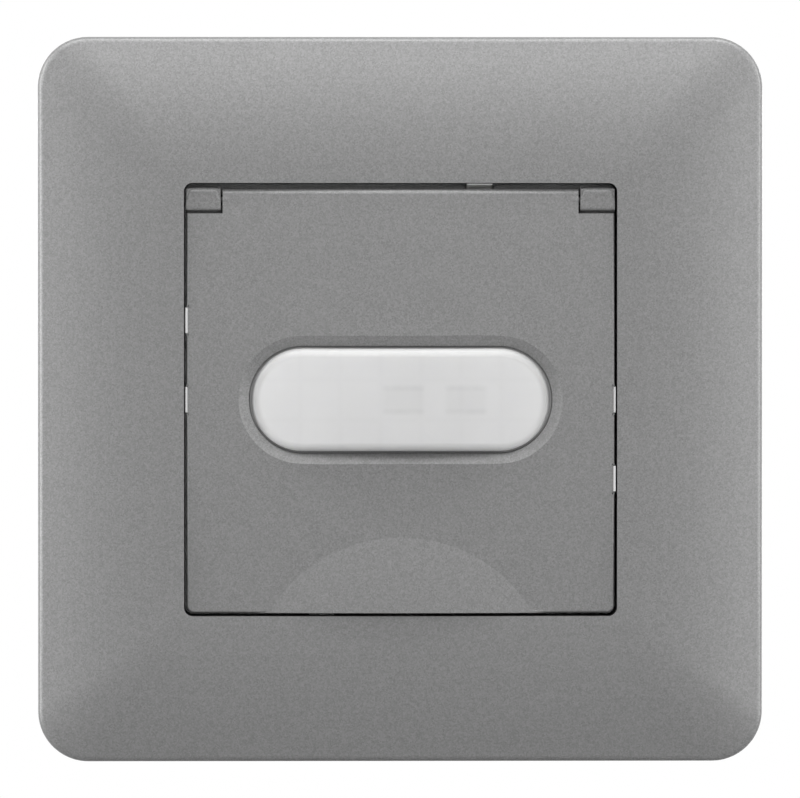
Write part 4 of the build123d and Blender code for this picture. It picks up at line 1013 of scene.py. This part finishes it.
def dial_signs(settings, back, front):
    """A sign above each dial, and what its two ends mean below it."""
    size = settings.sign
    time, light, reach = (middle_of(dial) for dial in DIALS)
    above = time.z + DIAL_RADIUS + settings.sign_rise
    below = time.z - DIAL_RADIUS - settings.end_drop
    side = settings.end_reach
    depth = back - front
    middle = (back + front) / 2
    parts = [
        clock_sign(size, (time.x, above), back, front),
        sun_sign(size, (light.x, above), back, front),
        reach_sign(size, (reach.x, above), back, front),
        moon_sign(0.7 * size, (light.x - side, below), back, front),
        sun_sign(0.75 * size, (light.x + side, below), back, front),
    ]
    for dial, ends in ((time, ("10s", "10m")), (reach, ("-", "+"))):
        for words, x in zip(ends, (dial.x - side, dial.x + side)):
            parts.append(add_words(words, settings.figure, (x, middle, below), depth))
    return join(parts)


def slider_words(settings, back, front):
    """The three words of the slider, each with a tick at the slider's place."""
    slider = middle_of("mode_slider")
    travel = settings.slider_travel / 2
    parts = []
    for step, words in zip((-1, 0, 1), ("OFF", "AUTO", "ON")):
        x = slider.x + step * travel
        foot = slider.z + settings.slot_half
        half = settings.tick_width / 2
        parts.append(add_block((x - half, front, foot), (x + half, back, foot + settings.tick_length)))
        at = (slider.x + step * settings.word_step, (back + front) / 2, foot + settings.word_rise)
        parts.append(add_words(words, settings.word, at, back - front))
    return join(parts)


class SWITCH_OT_marks(Operator):
    """Prints the scales and the signs of the dials and the words of the slider"""

    bl_idname = "light_switch.marks"
    bl_label = "Printed marks"

    def execute(self, context):
        settings = context.scene.switch_marks
        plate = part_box("time_dial")[0].y - DIAL_SINK
        back = plate + settings.print_height
        front = plate - settings.print_height
        plastics = context.scene.switch_plastic
        ink = plastic_material("printed_marks", plastics.print_colour, plastics.print_grain, roughness=0.5)
        scales = join([dial_scale(dial, settings, back, front) for dial in DIALS])
        finish_piece(scales, "dial_scales", "root", ink)
        finish_piece(dial_signs(settings, back, front), "dial_signs", "root", ink)
        finish_piece(slider_words(settings, back, front), "slider_words", "root", ink)
        return {"FINISHED"}


def side_tips(settings):
    """White tips at the sides, two on each, that stand in the gap beside the lid."""
    half = settings.tip_length / 2
    inside = settings.reach - settings.tip_wall
    parts = []
    for z in (0, -settings.offset):
        low = (inside, -settings.tip_front, z - half)
        high = (settings.reach, -settings.tip_back, z + half)
        parts.append(add_block(low, high, settings.tip_edge))
    return copies(join(parts), [((0, 0, 0), 0), ((0, 0, 0), math.pi)])


def upper_tip(settings):
    """The white tip in the gap above the lid."""
    half = settings.tip_length / 2
    low = (settings.offset - half, -settings.top_front, settings.top_reach - settings.top_wall)
    high = (settings.offset + half, -settings.top_back, settings.top_reach)
    return add_block(low, high, settings.tip_edge)


def lid_lips(settings):
    """Lips that close the lid's notches up to the tips."""
    end = settings.lip_length / 2
    gap = settings.tip_length / 2 + settings.lip_gap
    parts = []
    for z, front in ((0, settings.lip_front), (-settings.offset, settings.lip_front - settings.lip_fall)):
        parts.append(add_block(
            (settings.lip_inside, -front, z - end), (settings.lip_outside, -settings.lip_back, z + end)
        ))
        for start, stop in ((z - end, z - gap), (z + gap, z + end)):
            parts.append(add_block(
                (settings.lip_inside, -front, start), (settings.lid_edge, -settings.lip_back, stop)
            ))
    return copies(join(parts), [((0, 0, 0), 0), ((0, 0, 0), math.pi)])


class SWITCH_OT_latches(Operator):
    """Adds the white tips of the latches and the lips of the lid's notches"""

    bl_idname = "light_switch.latches"
    bl_label = "Latch tips"

    def execute(self, context):
        settings = context.scene.switch_latches
        lacquer = finish_of("lid")
        plastics = context.scene.switch_plastic
        white = plastic_material("latch_white", plastics.print_colour, plastics.fine_grain, roughness=0.4)
        tips = join([side_tips(settings), upper_tip(settings)])
        finish_piece(tips, "latch_tips", "root", white)
        finish_piece(lid_lips(settings), "lid_lips", "lid", lacquer)
        return {"FINISHED"}


def opening_rim(settings):
    """The crisp rim round the frame's opening."""
    side = settings.opening + 2 * settings.rim_width
    corner = settings.opening_corner
    rim = add_plate(side, side, settings.rim_back, settings.rim_front, corner + settings.rim_width)
    side = settings.opening
    return cut(rim, add_plate(side, side, settings.rim_back - MM, settings.rim_front + MM, corner))


def ear_fronts(settings):
    """Rounded fronts of the two ears that hold the hinge's pins."""
    ear = add_block(
        (settings.ear_inside, -settings.ear_front, settings.ear_bottom),
        (settings.ear_outside, -settings.ear_back, settings.ear_top),
    )
    middle = (settings.ear_bottom + settings.ear_top) / 2
    front = NEAR - settings.ear_front

    def upper_corner(start, end):
        """True for the upper edges that run from back to front."""
        return along_depth(start, end) and start.z > middle

    def lower_front(start, end):
        """True for the lower edge of the front."""
        return max(start.y, end.y) < front and max(start.z, end.z) < middle

    def upper_front(start, end):
        """True for the front's upper edge, round its corners too."""
        return max(start.y, end.y) < front and min(start.z, end.z) > middle

    bevel_edges(ear, settings.ear_corner, segments=6, chosen=upper_corner)
    bevel_edges(ear, settings.ear_foot, segments=8, chosen=lower_front)
    bevel_edges(ear, settings.ear_roll, segments=8, chosen=upper_front)
    apply_modifier(ear, "MIRROR", use_mirror_merge=False)
    smooth(ear)
    return ear


class SWITCH_OT_edges(Operator):
    """Adds the crisp rim of the opening and the rounded fronts of the hinge's ears"""

    bl_idname = "light_switch.edges"
    bl_label = "Rim and ears"

    def execute(self, context):
        settings = context.scene.switch_edges
        lacquer = finish_of("lid")
        finish_piece(opening_rim(settings), "opening_rim", "root", lacquer)
        finish_piece(ear_fronts(settings), "ear_fronts", "root", lacquer)
        return {"FINISHED"}


def lid_ribs(settings):
    """Ribs in the recess behind the lid, above, below and beside the lens."""
    low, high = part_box("lid")
    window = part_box("fresnel_lens")
    floor = -LID_BACK - settings.lid_recess
    foot = floor + settings.rib_height
    half = settings.rib_width / 2
    top = high.z - settings.rib_top_setback
    bottom = low.z + settings.rib_edge_setback
    side = high.x - settings.rib_edge_setback
    parts = []
    for x in (-settings.rib_place, settings.rib_place):
        for start, end in ((window[1].z + settings.rib_rim, top), (bottom, window[0].z - settings.rib_rim)):
            parts.append(add_block((x - half, floor - half, start), (x + half, foot, end), half / 2))
    for sign in (-1, 1):
        ends = sorted((sign * (window[1].x + settings.rib_rim), sign * side))
        parts.append(add_block((ends[0], floor - half, -half), (ends[1], foot, half), half / 2))
    return join(parts)


def lid_ejectors(settings):
    """Round marks that the mould's pins leave behind the lid."""
    floor = -LID_BACK - settings.lid_recess
    reach = settings.ejector_reach
    parts = []
    line = settings.ejector_line
    for x in (-reach, reach):
        for z in (-reach, reach):
            parts.append(add_ring(settings.ejector_radius, line, (x, z), floor + line, floor - line))
    return join(parts)


def raise_inner_end(rib, inner, rise):
    """Lifts the front edge of a rib's inner end to the frame's higher face there."""
    select_only(rib)
    front = min(vertex.co.y for vertex in rib.data.vertices)
    for vertex in rib.data.vertices:
        vertex.select = vertex.co.x < inner + NEAR and vertex.co.y < front + NEAR
    for polygon in rib.data.polygons:
        polygon.select = False
    for edge in rib.data.edges:
        edge.select = all(rib.data.vertices[index].select for index in edge.vertices)
    with edit_mode():
        bpy.ops.transform.translate(value=(0, -rise, 0))


def frame_ribs(settings):
    """Ribs in the hollow of the frame: on each side two under its arched face, and two short ones."""
    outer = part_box("cover_frame")[1].x - settings.frame_wall
    inner = settings.skirt_reach
    half = settings.rib_width / 2
    parts = []
    for place in (-settings.frame_rib_place, settings.frame_rib_place):
        rib = add_block(
            (inner, -settings.frame_rib_front, place - half),
            (outer + half, -settings.frame_rib_back, place + half),
        )
        raise_inner_end(rib, inner, settings.frame_arch)
        parts.append(rib)
        short = add_block(
            (outer - settings.short_rib, -settings.frame_rib_front, place / 2 - half),
            (outer + half, -settings.short_rib_back, place / 2 + half),
            half / 2,
        )
        parts.append(short)
    quarter = join(parts)
    return copies(quarter, [((0, 0, 0), turn * math.pi / 2) for turn in range(4)])


class SWITCH_OT_ribs(Operator):
    """Adds the ribs and the ejector marks on the backs of the lid and the frame"""

    bl_idname = "light_switch.ribs"
    bl_label = "Ribs and ejector marks"

    def execute(self, context):
        settings = context.scene.switch_ribs
        lacquer = finish_of("lid")
        finish_piece(lid_ribs(settings), "lid_ribs", "lid", lacquer)
        finish_piece(lid_ejectors(settings), "lid_ejectors", "lid", lacquer)
        finish_piece(frame_ribs(settings), "frame_ribs", "root", lacquer)
        return {"FINISHED"}


def strip_gauge(settings, low, high, depth):
    """A raised line as long as a wire is stripped, with its length in figures."""
    end = high.y - settings.gauge_setback
    start = end - settings.gauge_length
    z = low.z + settings.gauge_rise
    half = settings.gauge_line / 2
    stop = 4 * half
    inner, outer = high.x - depth, high.x + depth
    parts = [add_block((inner, start, z - half), (outer, end, z + half))]
    for y in (start, end):
        parts.append(add_block((inner, y - half, z - stop), (outer, y + half, z + stop)))
    at = (high.x, (start + end) / 2, z + settings.letter)
    parts.append(add_words("10 mm", 0.8 * settings.letter, at, 2 * depth, FACING_RIGHT))
    return join(parts)


class SWITCH_OT_terminal_marks(Operator):
    """Raises the letters of the terminals and the strip gauge on the housing"""

    bl_idname = "light_switch.terminal_marks"
    bl_label = "Terminal letters"

    def execute(self, context):
        settings = context.scene.switch_marks
        white = finish_of("rear_housing")
        low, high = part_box("rear_housing")
        depth = settings.relief
        parts = []
        for number, words in zip(TERMINALS, ("L", "N", "1", "2")):
            x = middle_of(f"terminal_screw_{number}").x
            at = (x, low.y + settings.letter_setback, low.z)
            parts.append(add_words(words, settings.letter, at, 2 * depth, FACING_DOWN))
        finish_piece(join(parts), "terminal_letters", "root", white)
        finish_piece(strip_gauge(settings, low, high, depth), "strip_gauge", "root", white)
        return {"FINISHED"}


def solder_bead(radius, height, side):
    """A solder joint that stands out of a board, on its back (1) or its front (-1)."""
    select_only()
    bpy.ops.mesh.primitive_cone_add(
        vertices=12,
        radius1=radius,
        radius2=radius / 3,
        depth=height,
        location=(0, side * height / 2, 0),
        rotation=(-side * math.pi / 2, 0, 0),
    )
    bead = join([bpy.context.object])
    apply_modifier(bead, "BEVEL", width=radius / 4, segments=2)
    return bead


def soldered(name, places, face, side, material):
    """Solder joints on one face of a board."""
    settings = bpy.context.scene.switch_board
    bead = solder_bead(settings.bead, settings.bead_height, side)
    piece = copies(bead, [((x, face, z), 0) for x, z in places])
    smooth(piece)
    finish_piece(piece, name, "root", material)


def sensor_board_legs(pitch):
    """Where the parts of the sensor board are soldered to it."""
    legs = []
    for dial in DIALS:
        at = middle_of(dial)
        legs += [(at.x + side * pitch, at.z) for side in (-1, 0, 1)]
    legs += [(-pitch, 0), (pitch, 0)]
    for name in ("light_sensor", "status_light"):
        x = middle_of(name).x
        legs += [(x - pitch / 2, 0), (x + pitch / 2, 0)]
    return legs


def power_board_legs():
    """Where the parts of the power board are soldered to it, two legs each."""
    legs = []
    for name in SOLDERED_PARTS:
        at = middle_of(name)
        reach = (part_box(name)[1].x - at.x) / 2
        legs += [(at.x - reach, at.z), (at.x + reach, at.z)]
    return legs


def chip_places(settings, face):
    """The field of small resistors, each turned against its neighbours."""
    places = []
    for column in range(settings.chip_columns):
        for row in range(settings.chip_rows):
            x = (column - (settings.chip_columns - 1) / 2) * settings.chip_pitch
            z = (row - (settings.chip_rows - 1) / 2) * settings.chip_pitch
            turn = math.pi / 2 if (column + row) % 2 else 0
            places.append(((x, face, z + settings.chip_rise), turn))
    return places


def chip_part(settings, start, end):
    """A part of a small resistor, between two places along its length."""
    half = settings.chip_length / 4
    edge = settings.chip_height / 8
    return add_block((start, 0, -half), (end, settings.chip_height, half), edge)


class SWITCH_OT_board_parts(Operator):
    """Adds the small chips and the solder joints of both circuit boards"""

    bl_idname = "light_switch.board_parts"
    bl_label = "Board parts"

    def execute(self, context):
        settings = context.scene.switch_board
        solder = metal_material("solder", context.scene.switch_metal.solder, roughness=0.28)
        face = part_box("sensor_board")[1].y
        soldered("sensor_board_solder", sensor_board_legs(settings.leg_pitch), face, 1, solder)
        soldered("power_board_solder", power_board_legs(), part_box("power_board")[0].y, -1, solder)

        length = settings.chip_length
        chip = chip_part(settings, -CHIP_BODY * length, CHIP_BODY * length)
        end = chip_part(settings, CHIP_CAP * length, length / 2)
        ends = copies(end, [((0, 0, 0), 0), ((0, 0, 0), math.pi)])
        places = chip_places(settings, face)
        finish_piece(copies(chip, places), "board_chips", "root", finish_of("controller_chip"))
        finish_piece(copies(ends, places), "chip_ends", "root", solder)
        return {"FINISHED"}


# Studio
def add_lamp(name, power, size, place):
    """A soft lamp at a place, that shines at the switch and doesn't show itself."""
    data = bpy.data.lights.new(name, "AREA")
    data.shape = "RECTANGLE"
    data.size, data.size_y = size
    data.energy = power
    lamp = bpy.data.objects.new(name, data)
    bpy.context.scene.collection.objects.link(lamp)
    lamp.visible_camera = False
    lamp.location = place
    lamp.rotation_euler = (-Vector(place)).to_track_quat("-Z", "Y").to_euler()


def seen_directly(tree):
    """One on what the camera sees, also in metal and through glass, and nothing on the light that falls."""
    path = tree.nodes.new("ShaderNodeLightPath")
    seen = path.outputs["Is Camera Ray"]
    for ray in ("Is Glossy Ray", "Is Transmission Ray"):
        either = tree.nodes.new("ShaderNodeMath")
        either.operation = "MAXIMUM"
        tree.links.new(seen, either.inputs[0])
        tree.links.new(path.outputs[ray], either.inputs[1])
        seen = either.outputs["Value"]
    return seen


def floor_material(settings):
    """Pale floor that fades out at its rim, throws little light back, and is clear from below."""
    material, shader = new_material("pale_floor")
    seen = seen_directly(material.node_tree)
    clouds = spread_value(material, noise(material, settings.floor_cloud), low=0.98, high=1)
    share = maths(material, "MULTIPLY", seen, clouds)
    vary_colour(material, shader, settings.floor_colour, share, low=settings.floor_bounce, high=1)
    shader.inputs["Roughness"].default_value = 0.8
    reach = add_node(material, "ShaderNodeVectorMath", operation="LENGTH")
    flat = add_node(material, "ShaderNodeVectorMath", operation="MULTIPLY")
    flat.inputs[1].default_value = (1, 1, 0)
    link(material, place_node(material), flat.inputs[0])
    link(material, flat.outputs["Vector"], reach.inputs[0])
    fade = add_node(material, "ShaderNodeMapRange", interpolation_type="SMOOTHSTEP")
    fade.inputs["From Min"].default_value = settings.floor_fade * settings.floor_radius
    fade.inputs["From Max"].default_value = settings.floor_radius
    link(material, reach.outputs["Value"], fade.inputs["Value"])
    underside = add_node(material, "ShaderNodeNewGeometry").outputs["Backfacing"]
    clear = add_node(material, "ShaderNodeBsdfTransparent")
    blend = add_node(material, "ShaderNodeMixShader")
    link(material, maths(material, "MAXIMUM", fade.outputs["Result"], underside), blend.inputs["Fac"])
    link(material, shader.outputs["BSDF"], blend.inputs[1])
    link(material, clear.outputs["BSDF"], blend.inputs[2])
    link(material, blend.outputs["Shader"], material.node_tree.nodes["Material Output"].inputs["Surface"])
    return material


class SWITCH_OT_studio(Operator):
    """Sets up the camera, the lamps and the floor"""

    bl_idname = "light_switch.studio"
    bl_label = "Studio"

    def execute(self, context):
        settings = context.scene.switch_studio
        context.scene.view_settings.view_transform = "Standard"
        data = bpy.data.cameras.new("camera")
        camera = bpy.data.objects.new("camera", data)
        context.scene.collection.objects.link(camera)
        away = Vector((-math.tan(settings.turn), -1, math.tan(settings.rise))) * settings.distance
        aim = Vector((0, -settings.aim, 0))
        camera.location = aim + away
        camera.rotation_euler = (-away).to_track_quat("-Z", "Y").to_euler()
        data.lens = data.sensor_width * away.length / settings.view_width
        data.clip_start = 10 * MM
        context.scene.camera = camera

        for name, size, place in LAMPS:
            add_lamp(f"{name}_lamp", getattr(settings, name), size, place)

        select_only()
        bpy.ops.mesh.primitive_circle_add(
            vertices=96,
            radius=settings.floor_radius,
            fill_type="NGON",
            location=(0, 0, cad_box[0][2] - settings.floor_drop),
        )
        floor = join([context.object])
        floor.name = "floor"
        floor.data.materials.append(floor_material(settings))

        world = bpy.data.worlds.new("studio")
        context.scene.world = world
        world.use_nodes = True
        nodes = world.node_tree.nodes
        links = world.node_tree.links
        background = nodes["Background"]
        background.inputs["Color"].default_value = (1, 1, 1, 1)
        strength = nodes.new("ShaderNodeMapRange")
        strength.inputs["To Min"].default_value = settings.fill
        links.new(seen_directly(world.node_tree), strength.inputs["Value"])
        links.new(strength.outputs["Result"], background.inputs["Strength"])
        return {"FINISHED"}


# Add-on
class SWITCH_PT_panel(Panel):
    """Lists the pieces of the light switch"""

    bl_label = "Motion Sensor Light Switch"
    bl_idname = "SWITCH_PT_panel"
    bl_space_type = "VIEW_3D"
    bl_region_type = "UI"
    bl_category = "Light Switch"

    def draw(self, context):
        for operator in OPERATORS:
            self.layout.operator(operator.bl_idname)


SETTINGS = {
    "switch_studio": StudioSettings,
    "switch_lacquer": LacquerSettings,
    "switch_lens": LensSettings,
    "switch_plastic": PlasticSettings,
    "switch_metal": MetalSettings,
    "switch_board": BoardSettings,
    "switch_marks": MarkSettings,
    "switch_ribs": RibSettings,
    "switch_latches": LatchSettings,
    "switch_edges": EdgeSettings,
}
OPERATORS = (
    SWITCH_OT_shells,
    SWITCH_OT_lens,
    SWITCH_OT_plastics,
    SWITCH_OT_metals,
    SWITCH_OT_boards,
    SWITCH_OT_marks,
    SWITCH_OT_ribs,
    SWITCH_OT_latches,
    SWITCH_OT_edges,
    SWITCH_OT_terminal_marks,
    SWITCH_OT_board_parts,
    SWITCH_OT_studio,
)


def register():
    """Makes the settings, the operators and the panel known."""
    for name, group in SETTINGS.items():
        bpy.utils.register_class(group)
        setattr(bpy.types.Scene, name, PointerProperty(type=group))
    for operator in OPERATORS:
        bpy.utils.register_class(operator)
    bpy.utils.register_class(SWITCH_PT_panel)


def unregister():
    """Takes the panel, the operators and the settings away again."""
    bpy.utils.unregister_class(SWITCH_PT_panel)
    for operator in reversed(OPERATORS):
        bpy.utils.unregister_class(operator)
    for name, group in SETTINGS.items():
        delattr(bpy.types.Scene, name)
        bpy.utils.unregister_class(group)


def main():
    """Runs every operator in order."""
    register()
    for operator in OPERATORS:
        category, name = operator.bl_idname.split(".")
        getattr(getattr(bpy.ops, category), name)()


if __name__ == "__main__":
    main()
